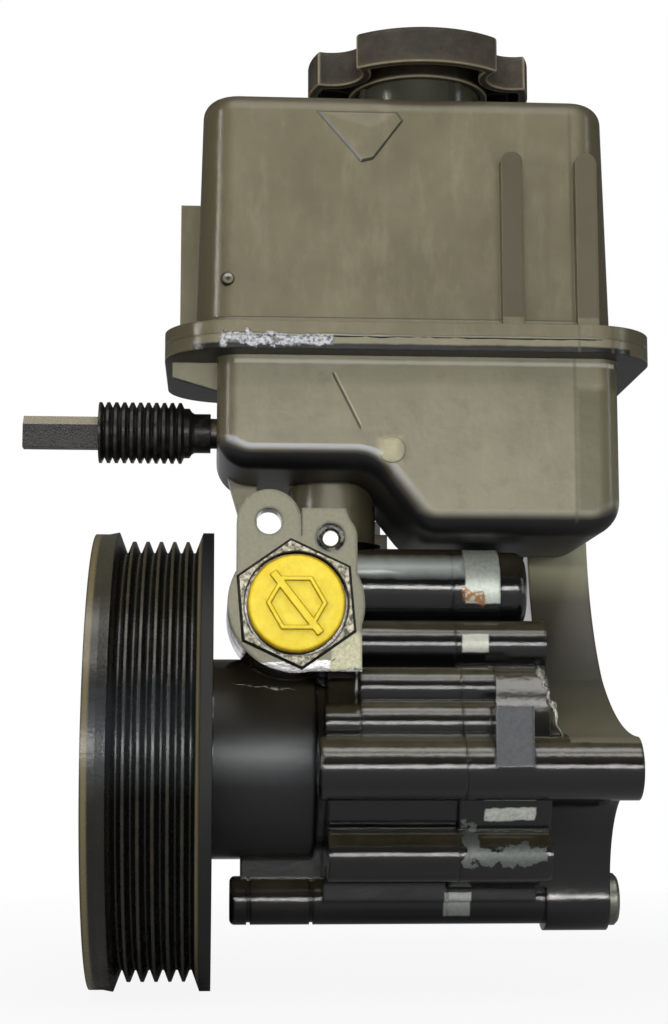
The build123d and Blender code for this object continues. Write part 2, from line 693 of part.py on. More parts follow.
    extrude(amount=CHAMBER_FRONT_X - BUSH_FRONT_X, mode=Mode.SUBTRACT)
    with BuildSketch(across(CHAMBER_FRONT_X)) as chamber:
        Circle(CHAMBER_R)
    extrude(amount=PARTING_X - CHAMBER_FRONT_X, mode=Mode.SUBTRACT)
    with BuildSketch(across(VALVE_BORE_FRONT_X)) as valve_bore:
        with Locations((VALVE_Y, VALVE_Z)):
            Circle(VALVE_BORE_R)
    extrude(amount=PARTING_X - VALVE_BORE_FRONT_X, mode=Mode.SUBTRACT)
    with BuildSketch(across(PORT_X)) as valve_passage:
        with Locations((PASSAGE_Y, PASSAGE_Z)):
            Circle(PASSAGE_R)
    extrude(amount=VALVE_BORE_FRONT_X - PORT_X, mode=Mode.SUBTRACT)
    with BuildSketch(upright(PORT_FACE_Y)) as port_bore:
        with Locations((PORT_X, PORT_Z)):
            Circle(PORT_BORE_R)
    extrude(amount=PORT_BORE_END_Y - PORT_FACE_Y, dir=(0, 1, 0), mode=Mode.SUBTRACT)
    with BuildSketch(upright(PORT_FACE_Y)) as port_recess:
        with Locations((PORT_X, PORT_Z)):
            Circle(PORT_RECESS_R)
    extrude(amount=PORT_RECESS_DEPTH, dir=(0, 1, 0), mode=Mode.SUBTRACT)
    with BuildSketch(upright(PORT_FACE_Y)) as lug_recess:
        with Locations((LUG_X, LUG_Z)):
            Circle(LUG_RECESS_R)
    extrude(amount=LUG_RECESS_DEPTH, dir=(0, 1, 0), mode=Mode.SUBTRACT)
    with BuildSketch(upright(PORT_FACE_Y)) as ear_holes:
        with Locations((EAR_HOLE_X, EAR_HOLE_Z)):
            Circle(EAR_HOLE_R)
        with Locations((LUG_X, LUG_Z)):
            Circle(GALLERY_PLUG_R)
    extrude(amount=EAR_T, dir=(0, 1, 0), mode=Mode.SUBTRACT)
    with BuildSketch(level(SUCTION_BOSS_Z)) as suction_counterbore:
        with Locations((SUCTION_X, SUCTION_Y)):
            Circle(SPIGOT_R + SEAT_GAP)
    extrude(amount=-SUCTION_COUNTERBORE, mode=Mode.SUBTRACT)
    with BuildSketch(level(SUCTION_BOSS_Z - SUCTION_COUNTERBORE)) as suction_passage:
        with Locations((SUCTION_X, SUCTION_Y)):
            Circle(SUCTION_PASSAGE_R)
    extrude(amount=SUCTION_PASSAGE_END_Z - SUCTION_BOSS_Z + SUCTION_COUNTERBORE, mode=Mode.SUBTRACT)
    with BuildSketch(across(BOTTOM_TUBE_FRONT_X)) as mounting_holes:
        with Locations((BOTTOM_BOSS_Y, BOTTOM_BOSS_Z), (NEAR_BOSS_Y, NEAR_BOSS_Z)):
            Circle(MOUNT_HOLE_R)
    extrude(amount=PARTING_X - BOTTOM_TUBE_FRONT_X, mode=Mode.SUBTRACT)
    with BuildSketch(across(PARTING_X)) as bolt_threads:
        with Locations(*BOLT_SPOTS):
            Circle(BOLT_R)
    extrude(amount=BOLT_TIP_X - PARTING_X, mode=Mode.SUBTRACT)
    with BuildSketch(level(DEEP_Z)) as post_thread:
        with Locations((LUG_XS[0], LUG_Y)):
            Circle(LUG_BOLT_R)
    extrude(amount=LUG_PLATE_T - LUG_BOLT_L, mode=Mode.SUBTRACT)
    with BuildSketch(across(PARTING_X)) as seal_groove:
        Circle(COVER_SEAL_ORBIT + COVER_SEAL_R)
        Circle(COVER_SEAL_ORBIT - COVER_SEAL_R, mode=Mode.SUBTRACT)
    extrude(amount=-2 * COVER_SEAL_R, mode=Mode.SUBTRACT)
save(front_housing, "front_housing")

# O-ring between the housing halves
with BuildPart() as cover_o_ring:
    with BuildSketch(Plane.XY) as cover_o_ring_section:
        with Locations((PARTING_X - COVER_SEAL_R, COVER_SEAL_ORBIT)):
            Circle(COVER_SEAL_R)
    revolve(axis=Axis.X)
save(cover_o_ring, "cover_o_ring")


def port_plate(front_x, thickness, bore_r):
    """Flat pressure plate with four curved ports and two dowel holes."""
    slot_step = 360 / PORT_SLOTS
    starts = [slot_step * slot + (slot_step - PORT_SLOT_ARC) / 2 for slot in range(PORT_SLOTS)]
    port_arcs = [CenterArc((0, 0), PORT_SLOT_R, start, PORT_SLOT_ARC) for start in starts]
    with BuildPart() as plate:
        with BuildSketch(across(front_x)):
            Circle(CARTRIDGE_R)
            Circle(bore_r, mode=Mode.SUBTRACT)
            with Locations((0, DOWEL_ORBIT), (0, -DOWEL_ORBIT)):
                Circle(DOWEL_R, mode=Mode.SUBTRACT)
            for port_arc in port_arcs:
                SlotArc(port_arc, PORT_SLOT_W, mode=Mode.SUBTRACT)
        extrude(amount=thickness)
    return plate


# Vane cartridge: two port plates, the cam ring, rotor, vanes and dowels
front_port_plate = port_plate(CHAMBER_FRONT_X, FRONT_PLATE_T, BUSH_R + SEAT_GAP)
save(front_port_plate, "front_port_plate")
rear_port_plate = port_plate(CAM_REAR_X, REAR_PLATE_T, PILOT_R + SEAT_GAP)
save(rear_port_plate, "rear_port_plate")

with BuildPart() as cam_ring:
    with BuildSketch(across(CAM_FRONT_X)) as cam_outline:
        Circle(CARTRIDGE_R)
        Ellipse(CAM_MAJOR_R, CAM_MINOR_R, mode=Mode.SUBTRACT)
        with Locations((0, DOWEL_ORBIT), (0, -DOWEL_ORBIT)):
            Circle(DOWEL_R, mode=Mode.SUBTRACT)
    extrude(amount=CAM_RING_T)
save(cam_ring, "cam_ring")

with BuildPart() as rotor:
    with BuildSketch(across(ROTOR_FRONT_X)) as rotor_outline:
        Circle(ROTOR_R)
        Circle(SPLINE_ROOT_R + FIT_GAP, mode=Mode.SUBTRACT)
        with PolarLocations((SPLINE_ROOT_R + SPLINE_TOOTH_R - SINK) / 2, SPLINE_TEETH):
            Rectangle(
                SPLINE_TOOTH_R - SPLINE_ROOT_R + SINK + 2 * FIT_GAP,
                SPLINE_TOOTH_W + 2 * FIT_GAP,
                mode=Mode.SUBTRACT,
            )
        with PolarLocations(ROTOR_R - SLOT_DEPTH / 2, VANES, start_angle=180 / VANES):
            Rectangle(SLOT_DEPTH, VANE_T + 2 * RUN_GAP, mode=Mode.SUBTRACT)
    extrude(amount=ROTOR_L)
save(rotor, "rotor")

with BuildPart() as vanes:
    with BuildSketch(across(ROTOR_FRONT_X)) as vane_section:
        with PolarLocations(ROTOR_R - VANE_H / 2, VANES, start_angle=180 / VANES):
            Rectangle(VANE_H, VANE_T)
    extrude(amount=ROTOR_L)
save(vanes, "vanes")

with BuildPart() as dowel_pins:
    with BuildSketch(across(CHAMBER_FRONT_X)) as dowel_section:
        with Locations((0, DOWEL_ORBIT), (0, -DOWEL_ORBIT)):
            Circle(DOWEL_R)
    extrude(amount=PARTING_X - CHAMBER_FRONT_X)
save(dowel_pins, "dowel_pins")

# Rear cover: end of the body, valve tube end, side pad and the three-armed mounting flange in one casting
with BuildPart() as rear_cover:
    with BuildSketch(across(PARTING_X)) as cover_outline:
        Circle(COVER_R)
        for bolt_y, bolt_z in BOLT_SPOTS:
            with Locations((bolt_y, bolt_z)):
                Circle(BOLT_TUBE_R)
        with Locations((NEAR_BOSS_Y / 2, NEAR_BOSS_Z)):
            Rectangle(-NEAR_BOSS_Y, 2 * WEB_ROOT)
        with Locations((BOTTOM_BOSS_Y, BOTTOM_BOSS_Z / 2)):
            Rectangle(2 * BOTTOM_BOSS_R, -BOTTOM_BOSS_Z)
    extrude(amount=COVER_REAR_X - PARTING_X)
    with BuildSketch(across(PARTING_X)) as cover_tubes:
        with Locations((UPPER_GALLERY_Y, UPPER_GALLERY_Z)):
            Circle(UPPER_GALLERY_R)
        with Locations((MIDDLE_GALLERY_Y, MIDDLE_GALLERY_Z)):
            Circle(MIDDLE_GALLERY_R)
    extrude(amount=GALLERY_REAR_X - PARTING_X)
    with BuildSketch(across(PARTING_X)) as cover_valve_tube:
        with Locations((VALVE_Y, VALVE_Z)):
            Circle(VALVE_TUBE_R)
        with Locations((VALVE_Y, VALVE_Z / 2)):
            Rectangle(VALVE_TUBE_R, VALVE_Z)
    extrude(amount=VALVE_END_X - PARTING_X)
    with BuildSketch(across(PARTING_X)) as cover_near_tube:
        with Locations((NEAR_BOSS_Y, NEAR_BOSS_Z)):
            Circle(NEAR_BOSS_R)
    extrude(amount=-PARTING_X)
    with BuildSketch(across(PARTING_X)) as cover_bottom_tube:
        with Locations((BOTTOM_BOSS_Y, BOTTOM_BOSS_Z)):
            Circle(BOTTOM_TUBE_R)
    extrude(amount=FLANGE_FRONT_X - PARTING_X)
    with BuildSketch(across(COVER_PAD_X)) as side_pad:
        with BuildLine():
            pad_points = [(COVER_PAD_FACE_Y, COVER_PAD_LOW_Z), (COVER_PAD_FACE_Y, COVER_PAD_HIGH_Z)]
            pad_points += [(0, COVER_PAD_HIGH_Z), (0, COVER_PAD_LOW_Z)]
            Polyline(*pad_points, close=True)
        make_face()
    extrude(amount=COVER_PAD_L)
    with BuildSketch(across(FLANGE_FRONT_X)) as flange_outline:
        with BuildLine():
            near_top = (NEAR_BOSS_Y, NEAR_BOSS_Z + NEAR_BOSS_R)
            near_low = (NEAR_BOSS_Y, NEAR_BOSS_Z - NEAR_BOSS_R)
            top_near = (TOP_BOSS_Y - TOP_BOSS_R, TOP_BOSS_Z)
            top_far = (TOP_BOSS_Y + TOP_BOSS_R, TOP_BOSS_Z)
            low_far = (BOTTOM_BOSS_Y + BOTTOM_BOSS_R, BOTTOM_BOSS_Z)
            low_near = (BOTTOM_BOSS_Y - BOTTOM_BOSS_R, BOTTOM_BOSS_Z)
            upper_near_arc = ThreePointArc(near_top, FLANGE_NEAR_BEND, FLANGE_WAIST)
            upper_arc = ThreePointArc(FLANGE_WAIST, FLANGE_TOP_BEND, top_near)
            top_line = Line(top_near, top_far)
            far_arc = ThreePointArc(top_far, FLANGE_FAR_BEND, low_far)
            low_line = Line(low_far, low_near)
            low_arc = ThreePointArc(low_near, FLANGE_LOW_BEND, near_low)
            near_line = Line(near_low, near_top)
        make_face()
        with Locations((NEAR_BOSS_Y, NEAR_BOSS_Z)):
            Circle(NEAR_BOSS_R)
        with Locations((TOP_BOSS_Y, TOP_BOSS_Z)):
            Circle(TOP_BOSS_R)
        with Locations((BOTTOM_BOSS_Y, BOTTOM_BOSS_Z)):
            Circle(BOTTOM_BOSS_R)
    extrude(amount=FLANGE_T)
    with BuildSketch(across(COVER_REAR_X)) as cover_to_flange:
        Circle(COVER_R - SEAT_GAP)
        add(flange_outline.sketch_local, mode=Mode.INTERSECT)
    extrude(amount=FLANGE_FRONT_X - COVER_REAR_X)
    with BuildSketch(level(DEEP_Z)) as rear_post:
        with Locations((LUG_XS[1], LUG_Y)):
            Circle(LUG_POST_R)
    extrude(amount=LUG_POST_ROOT_Z - DEEP_Z)
    with BuildSketch(across(PARTING_X)) as pilot_bore:
        Circle(PILOT_R + RUN_GAP + PILOT_BUSH_WALL)
    extrude(amount=SHAFT_REAR_X - PARTING_X + PILOT_END_GAP, mode=Mode.SUBTRACT)
    with BuildSketch(across(PARTING_X)) as cover_valve_bore:
        with Locations((VALVE_Y, VALVE_Z)):
            Circle(VALVE_BORE_R)
    extrude(amount=VALVE_END_X - PARTING_X, mode=Mode.SUBTRACT)
    with BuildSketch(across(PARTING_X)) as cover_bolt_holes:
        with Locations(*BOLT_SPOTS):
            Circle(BOLT_R + FIT_GAP)
    extrude(amount=-PARTING_X, mode=Mode.SUBTRACT)
    with BuildSketch(across(BOLT_SEAT_X)) as bolt_seats:
        with Locations(*BOLT_SPOTS):
            Circle(BOLT_HEAD_R + SEAT_GAP)
    extrude(amount=-BOLT_SEAT_X, mode=Mode.SUBTRACT)
    with BuildSketch(across(PARTING_X)) as cover_mounting_holes:
        with Locations((BOTTOM_BOSS_Y, BOTTOM_BOSS_Z), (NEAR_BOSS_Y, NEAR_BOSS_Z), (TOP_BOSS_Y, TOP_BOSS_Z)):
            Circle(MOUNT_HOLE_R)
    extrude(amount=-PARTING_X, mode=Mode.SUBTRACT)
    with BuildSketch(across(0)) as sleeve_seat:
        with Locations((BOTTOM_BOSS_Y, BOTTOM_BOSS_Z)):
            Circle(SLEEVE_R)
    extrude(amount=-SLEEVE_IN, mode=Mode.SUBTRACT)
    with BuildSketch(level(DEEP_Z)) as rear_post_thread:
        with Locations((LUG_XS[1], LUG_Y)):
            Circle(LUG_BOLT_R)
    extrude(amount=LUG_PLATE_T - LUG_BOLT_L, mode=Mode.SUBTRACT)
save(rear_cover, "rear_cover")

# Plain bush that carries the rear pilot of the shaft
with BuildPart() as pilot_bush:
    with BuildSketch(across(PARTING_X)) as pilot_bush_ring:
        Circle(PILOT_R + RUN_GAP + PILOT_BUSH_WALL)
        Circle(PILOT_R + RUN_GAP, mode=Mode.SUBTRACT)
    extrude(amount=SHAFT_REAR_X - PARTING_X)
save(pilot_bush, "pilot_bush")

# Locating sleeve in the bottom boss of the flange
with BuildPart() as locating_sleeve:
    with BuildSketch(across(-SLEEVE_IN)) as sleeve_ring:
        with Locations((BOTTOM_BOSS_Y, BOTTOM_BOSS_Z)):
            Circle(SLEEVE_R)
            Circle(MOUNT_HOLE_R, mode=Mode.SUBTRACT)
    extrude(amount=SLEEVE_IN + SLEEVE_OUT)
    chamfer(locating_sleeve.faces().sort_by(Axis.X)[-1].outer_wire().edges(), length=SLEEVE_CHAMFER)
save(locating_sleeve, "locating_sleeve")

# Socket head bolts that join the housing halves
with BuildPart() as housing_bolts:
    with BuildSketch(across(BOLT_TIP_X)) as bolt_shanks:
        with Locations(*BOLT_SPOTS):
            Circle(BOLT_R)
    extrude(amount=BOLT_SEAT_X - BOLT_TIP_X)
    with BuildSketch(across(BOLT_SEAT_X)) as bolt_heads:
        with Locations(*BOLT_SPOTS):
            Circle(BOLT_HEAD_R)
    extrude(amount=BOLT_HEAD_T)
    with BuildSketch(across(BOLT_SEAT_X + BOLT_HEAD_T)) as bolt_sockets:
        with Locations(*BOLT_SPOTS):
            RegularPolygon(BOLT_SOCKET_FLATS / 2, 6, major_radius=False)
    extrude(amount=-BOLT_SOCKET_DEPTH, mode=Mode.SUBTRACT)
save(housing_bolts, "housing_bolts")

# Flow control valve: spool, its spring and the threaded end plug with a seal
SPOOL_FRONT_X = VALVE_BORE_FRONT_X + SPOOL_STOP_L
SPOOL_REAR_X = SPOOL_FRONT_X + SPOOL_L
PLUG_STEM_FRONT_X = VALVE_END_X - VALVE_PLUG_STEM_L
with BuildPart() as flow_spool:
    with BuildSketch(across(VALVE_BORE_FRONT_X)) as spool_stop:
        with Locations((VALVE_Y, VALVE_Z)):
            Circle(SPOOL_STOP_R)
    extrude(amount=SPOOL_STOP_L)
    with BuildSketch(across(SPOOL_FRONT_X)) as spool_body:
        with Locations((VALVE_Y, VALVE_Z)):
            Circle(VALVE_BORE_R - RUN_GAP)
    extrude(amount=SPOOL_L)
    with BuildSketch(across(SPOOL_FRONT_X + SPOOL_WAIST_L)) as spool_waist:
        with Locations((VALVE_Y, VALVE_Z)):
            Circle(VALVE_BORE_R)
            Circle(SPOOL_WAIST_R, mode=Mode.SUBTRACT)
    extrude(amount=SPOOL_WAIST_L, mode=Mode.SUBTRACT)
    with BuildSketch(across(SPOOL_REAR_X)) as spool_pocket:
        with Locations((VALVE_Y, VALVE_Z)):
            Circle(SPOOL_POCKET_R)
    extrude(amount=-SPOOL_POCKET_L, mode=Mode.SUBTRACT)
save(flow_spool, "flow_spool")

SPRING_FRONT_X = SPOOL_REAR_X - SPOOL_POCKET_L + SPRING_WIRE_R
SPRING_L = PLUG_STEM_FRONT_X - SPRING_WIRE_R - SPRING_FRONT_X
with BuildPart() as flow_spring:
    with BuildLine() as spring_path:
        Helix(
            pitch=SPRING_L / SPRING_TURNS,
            height=SPRING_L,
            radius=SPRING_COIL_R,
            center=(SPRING_FRONT_X, VALVE_Y, VALVE_Z),
            direction=(1, 0, 0),
        )
    with BuildSketch(spring_path.line ^ 0) as spring_wire:
        Circle(SPRING_WIRE_R)
    sweep(is_frenet=True)
save(flow_spring, "flow_spring")

with BuildPart() as valve_end_plug:
    with BuildSketch(across(PLUG_STEM_FRONT_X)) as plug_stem:
        with Locations((VALVE_Y, VALVE_Z)):
            Circle(VALVE_BORE_R)
    extrude(amount=VALVE_PLUG_STEM_L)
    with BuildSketch(across(VALVE_END_X)) as plug_head:
        with Locations((VALVE_Y, VALVE_Z)):
            Circle(VALVE_PLUG_HEAD_R)
    extrude(amount=VALVE_PLUG_HEAD_T)
    fillet(valve_end_plug.faces().sort_by(Axis.X)[-1].edges(), radius=VALVE_PLUG_EDGE_R)
    with BuildSketch(across(VALVE_END_X + VALVE_PLUG_HEAD_T)) as plug_socket:
        with Locations((VALVE_Y, VALVE_Z)):
            RegularPolygon(VALVE_PLUG_SOCKET_FLATS / 2, 6, major_radius=False)
    extrude(amount=-VALVE_PLUG_SOCKET_DEPTH, mode=Mode.SUBTRACT)
    with BuildSketch(across(PLUG_STEM_FRONT_X + VALVE_PLUG_STEM_L / 2 - VALVE_SEAL_R)) as plug_groove:
        with Locations((VALVE_Y, VALVE_Z)):
            Circle(VALVE_BORE_R)
            Circle(VALVE_BORE_R - 2 * VALVE_SEAL_R, mode=Mode.SUBTRACT)
    extrude(amount=2 * VALVE_SEAL_R, mode=Mode.SUBTRACT)
save(valve_end_plug, "valve_end_plug")

VALVE_AXIS = Axis((0, VALVE_Y, VALVE_Z), (1, 0, 0))
VALVE_PLANE = Plane(origin=(0, VALVE_Y, VALVE_Z), x_dir=(1, 0, 0), z_dir=(0, 0, 1))
with BuildPart() as valve_plug_seal:
    with BuildSketch(VALVE_PLANE) as valve_seal_section:
        with Locations((PLUG_STEM_FRONT_X + VALVE_PLUG_STEM_L / 2, VALVE_BORE_R - VALVE_SEAL_R)):
            Circle(VALVE_SEAL_R)
    revolve(axis=VALVE_AXIS)
save(valve_plug_seal, "valve_plug_seal")

# Press-in plug that closes the drilled gallery beside the port
with BuildPart() as gallery_plug:
    with BuildSketch(upright(PORT_FACE_Y + LUG_RECESS_DEPTH)) as gallery_plug_disc:
        with Locations((LUG_X, LUG_Z)):
            Circle(GALLERY_PLUG_R)
    extrude(amount=GALLERY_PLUG_L, dir=(0, 1, 0))
    fillet(gallery_plug.faces().sort_by(Axis.Y)[0].edges(), radius=GALLERY_PLUG_EDGE_R)
save(gallery_plug, "gallery_plug")

# Yellow port plug: flange with a raised hexagon and bar, and a hollow stem
PLUG_FACE_Y = PORT_FACE_Y + PORT_RECESS_DEPTH - PLUG_FLANGE_T
with BuildPart() as port_plug:
    with BuildSketch(upright(PORT_FACE_Y + PORT_RECESS_DEPTH)) as plug_flange:
        with Locations((PORT_X, PORT_Z)):
            Circle(PLUG_FLANGE_R)
    extrude(amount=PLUG_FLANGE_T)
    fillet(port_plug.faces().sort_by(Axis.Y)[0].edges(), radius=PLUG_EDGE_R)
    with BuildSketch(upright(PORT_FACE_Y + PORT_RECESS_DEPTH)) as plug_stem_outline:
        with Locations((PORT_X, PORT_Z)):
            Circle(PORT_BORE_R - RUN_GAP)
            Circle(PORT_BORE_R - RUN_GAP - PLUG_STEM_WALL, mode=Mode.SUBTRACT)
    extrude(amount=PLUG_STEM_L, dir=(0, 1, 0))
    with BuildSketch(upright(PLUG_FACE_Y)) as plug_marks:
        with Locations((PORT_X, PORT_Z)):
            RegularPolygon(PLUG_RIB_FLATS / 2, 6, major_radius=False)
            RegularPolygon(PLUG_RIB_FLATS / 2 - PLUG_RIB_W, 6, major_radius=False, mode=Mode.SUBTRACT)
        with Locations(Location((PORT_X, PORT_Z), PLUG_BAR_TILT)):
            Rectangle(PLUG_BAR_L, PLUG_BAR_W)
    extrude(amount=PLUG_RIB_T)
save(port_plug, "port_plug")

# Reservoir, lower shell: stepped tub with a wide seam rim, suction neck, lugs and return nipple
TANK_MIDDLE_Y = (TANK_NEAR_Y + TANK_FAR_Y) / 2
TANK_DEPTH = TANK_FAR_Y - TANK_NEAR_Y
RIM_LOW_Z = SEAM_Z - RIM_T
RIM_TOP_Z = SEAM_Z + RIM_T


def tub_outline(wall):
    """Side view of the stepped tub, moved in by the wall."""
    with BuildSketch(upright(TANK_FAR_Y - wall)) as outline:
        with BuildLine():
            left = LOWER_LEFT_X + wall
            right = LOWER_RIGHT_X - wall
            slope_shift = wall * (STEP_RIGHT_X - STEP_LEFT_X) / (SHALLOW_Z - DEEP_Z)
            side = [(left, RIM_LOW_Z), (left, SHALLOW_Z + wall)]
            side += [(STEP_LEFT_X + wall, SHALLOW_Z + wall), (STEP_RIGHT_X + wall, DEEP_Z + wall)]
            side += [(right, DEEP_Z + wall), (right, RIM_LOW_Z)]
            Polyline(*side, close=True)
        make_face()
        bends = outline.vertices().group_by(Axis.Y)[:-1]
        corners = [vertex for group in bends for vertex in group]
        fillet(corners, radius=STEP_R - wall)
    return outline


with BuildPart() as reservoir_lower:
    outer_side = tub_outline(0)
    add(outer_side.sketch)
    extrude(amount=TANK_DEPTH, dir=(0, -1, 0))
    near_far = reservoir_lower.faces().filter_by(Axis.Y)
    bottom_loops = near_far.edges().filter_by(lambda edge: edge.center().Z < RIM_LOW_Z - SINK)
    fillet(bottom_loops, radius=LOWER_EDGE_R)
    with BuildSketch(level(RIM_LOW_Z)) as lower_rim:
        with Locations(((RIM_LEFT_X + RIM_RIGHT_X) / 2, (RIM_NEAR_Y + RIM_FAR_Y) / 2)):
            RectangleRounded(RIM_RIGHT_X - RIM_LEFT_X, RIM_FAR_Y - RIM_NEAR_Y, RIM_CORNER_R)
    extrude(amount=RIM_T)
    with BuildSketch(level(SHALLOW_Z + LOWER_EDGE_R)) as suction_neck:
        with Locations((SUCTION_X, SUCTION_Y)):
            Circle(SUCTION_NECK_R)
    extrude(amount=SUCTION_BOSS_Z - SHALLOW_Z - LOWER_EDGE_R)
    with BuildSketch(level(SUCTION_BOSS_Z)) as spigot:
        with Locations((SUCTION_X, SUCTION_Y)):
            Circle(SPIGOT_R)
    extrude(amount=-SPIGOT_L)
    with BuildSketch(level(DEEP_Z)) as lug_plates:
        for lug_x in LUG_XS:
            with Locations((lug_x, LUG_Y)):
                Circle(LUG_POST_R)
            with Locations((lug_x, (LUG_Y + TANK_FAR_Y) / 2 - LOWER_EDGE_R / 2)):
                Rectangle(2 * LUG_POST_R, LUG_Y - TANK_FAR_Y + LOWER_EDGE_R)
    extrude(amount=LUG_PLATE_T)
    with BuildSketch(upright(GUSSET_NEAR_Y)) as gusset:
        with BuildLine():
            gusset_points = [(RIM_LEFT_X + SINK, RIM_LOW_Z), (GUSSET_X, GUSSET_Z + GUSSET_DROP)]
            gusset_points += [(LOWER_LEFT_X + SINK, GUSSET_Z), (LOWER_LEFT_X + SINK, RIM_LOW_Z)]
            Polyline(*gusset_points, close=True)
        make_face()
    extrude(amount=GUSSET_T, dir=(0, 1, 0))
    with BuildSketch(upright(SUCTION_Y)) as tongue:
        with BuildLine():
            tongue_left = LOWER_LEFT_X + TONGUE_INSET
            tongue_points = [(tongue_left, SHALLOW_Z + LOWER_EDGE_R)]
            tongue_points += [(tongue_left + TONGUE_TOP_W, SHALLOW_Z + LOWER_EDGE_R)]
            tongue_points += [(tongue_left + TONGUE_TOP_W, TONGUE_TIP_Z)]
            tongue_points += [(tongue_left + TONGUE_TOP_W - TONGUE_TIP_W, TONGUE_TIP_Z)]
            Polyline(*tongue_points, close=True)
        make_face()
    extrude(amount=TONGUE_T / 2, both=True)
    with BuildSketch(across(NIPPLE_END_X)) as nipple:
        with Locations((NIPPLE_Y, NIPPLE_Z)):
            Circle(NIPPLE_R)
    extrude(amount=LOWER_LEFT_X + SINK - NIPPLE_END_X)
    inner_side = tub_outline(TANK_WALL)
    add(inner_side.sketch)
    extrude(amount=TANK_DEPTH - 2 * TANK_WALL, dir=(0, -1, 0), mode=Mode.SUBTRACT)
    with BuildSketch(level(RIM_LOW_Z)) as tub_mouth:
        with Locations(((LOWER_LEFT_X + LOWER_RIGHT_X) / 2, TANK_MIDDLE_Y)):
            Rectangle(LOWER_RIGHT_X - LOWER_LEFT_X - 2 * TANK_WALL, TANK_DEPTH - 2 * TANK_WALL)
    extrude(amount=RIM_T, mode=Mode.SUBTRACT)
    with BuildSketch(level(SHALLOW_Z + TANK_WALL)) as suction_bore:
        with Locations((SUCTION_X, SUCTION_Y)):
            Circle(SPIGOT_BORE_R)
    extrude(amount=SUCTION_BOSS_Z - SPIGOT_L - SHALLOW_Z - TANK_WALL, mode=Mode.SUBTRACT)
    with BuildSketch(level(SUCTION_BOSS_Z - SUCTION_SEAL_DROP - SUCTION_SEAL_R)) as spigot_groove:
        with Locations((SUCTION_X, SUCTION_Y)):
            Circle(SPIGOT_R)
            Circle(SPIGOT_R + SEAT_GAP - 2 * SUCTION_SEAL_R, mode=Mode.SUBTRACT)
    extrude(amount=2 * SUCTION_SEAL_R, mode=Mode.SUBTRACT)
    with BuildSketch(level(DEEP_Z)) as lug_holes:
        with Locations(*[(lug_x, LUG_Y) for lug_x in LUG_XS]):
            Circle(LUG_BOLT_R + FIT_GAP)
    extrude(amount=LUG_PLATE_T, mode=Mode.SUBTRACT)
    with BuildSketch(across(NIPPLE_END_X)) as nipple_bore:
        with Locations((NIPPLE_Y, NIPPLE_Z)):
            Circle(NIPPLE_BORE_R)
    extrude(amount=LOWER_LEFT_X + TANK_WALL - NIPPLE_END_X, mode=Mode.SUBTRACT)
save(reservoir_lower, "reservoir_lower")

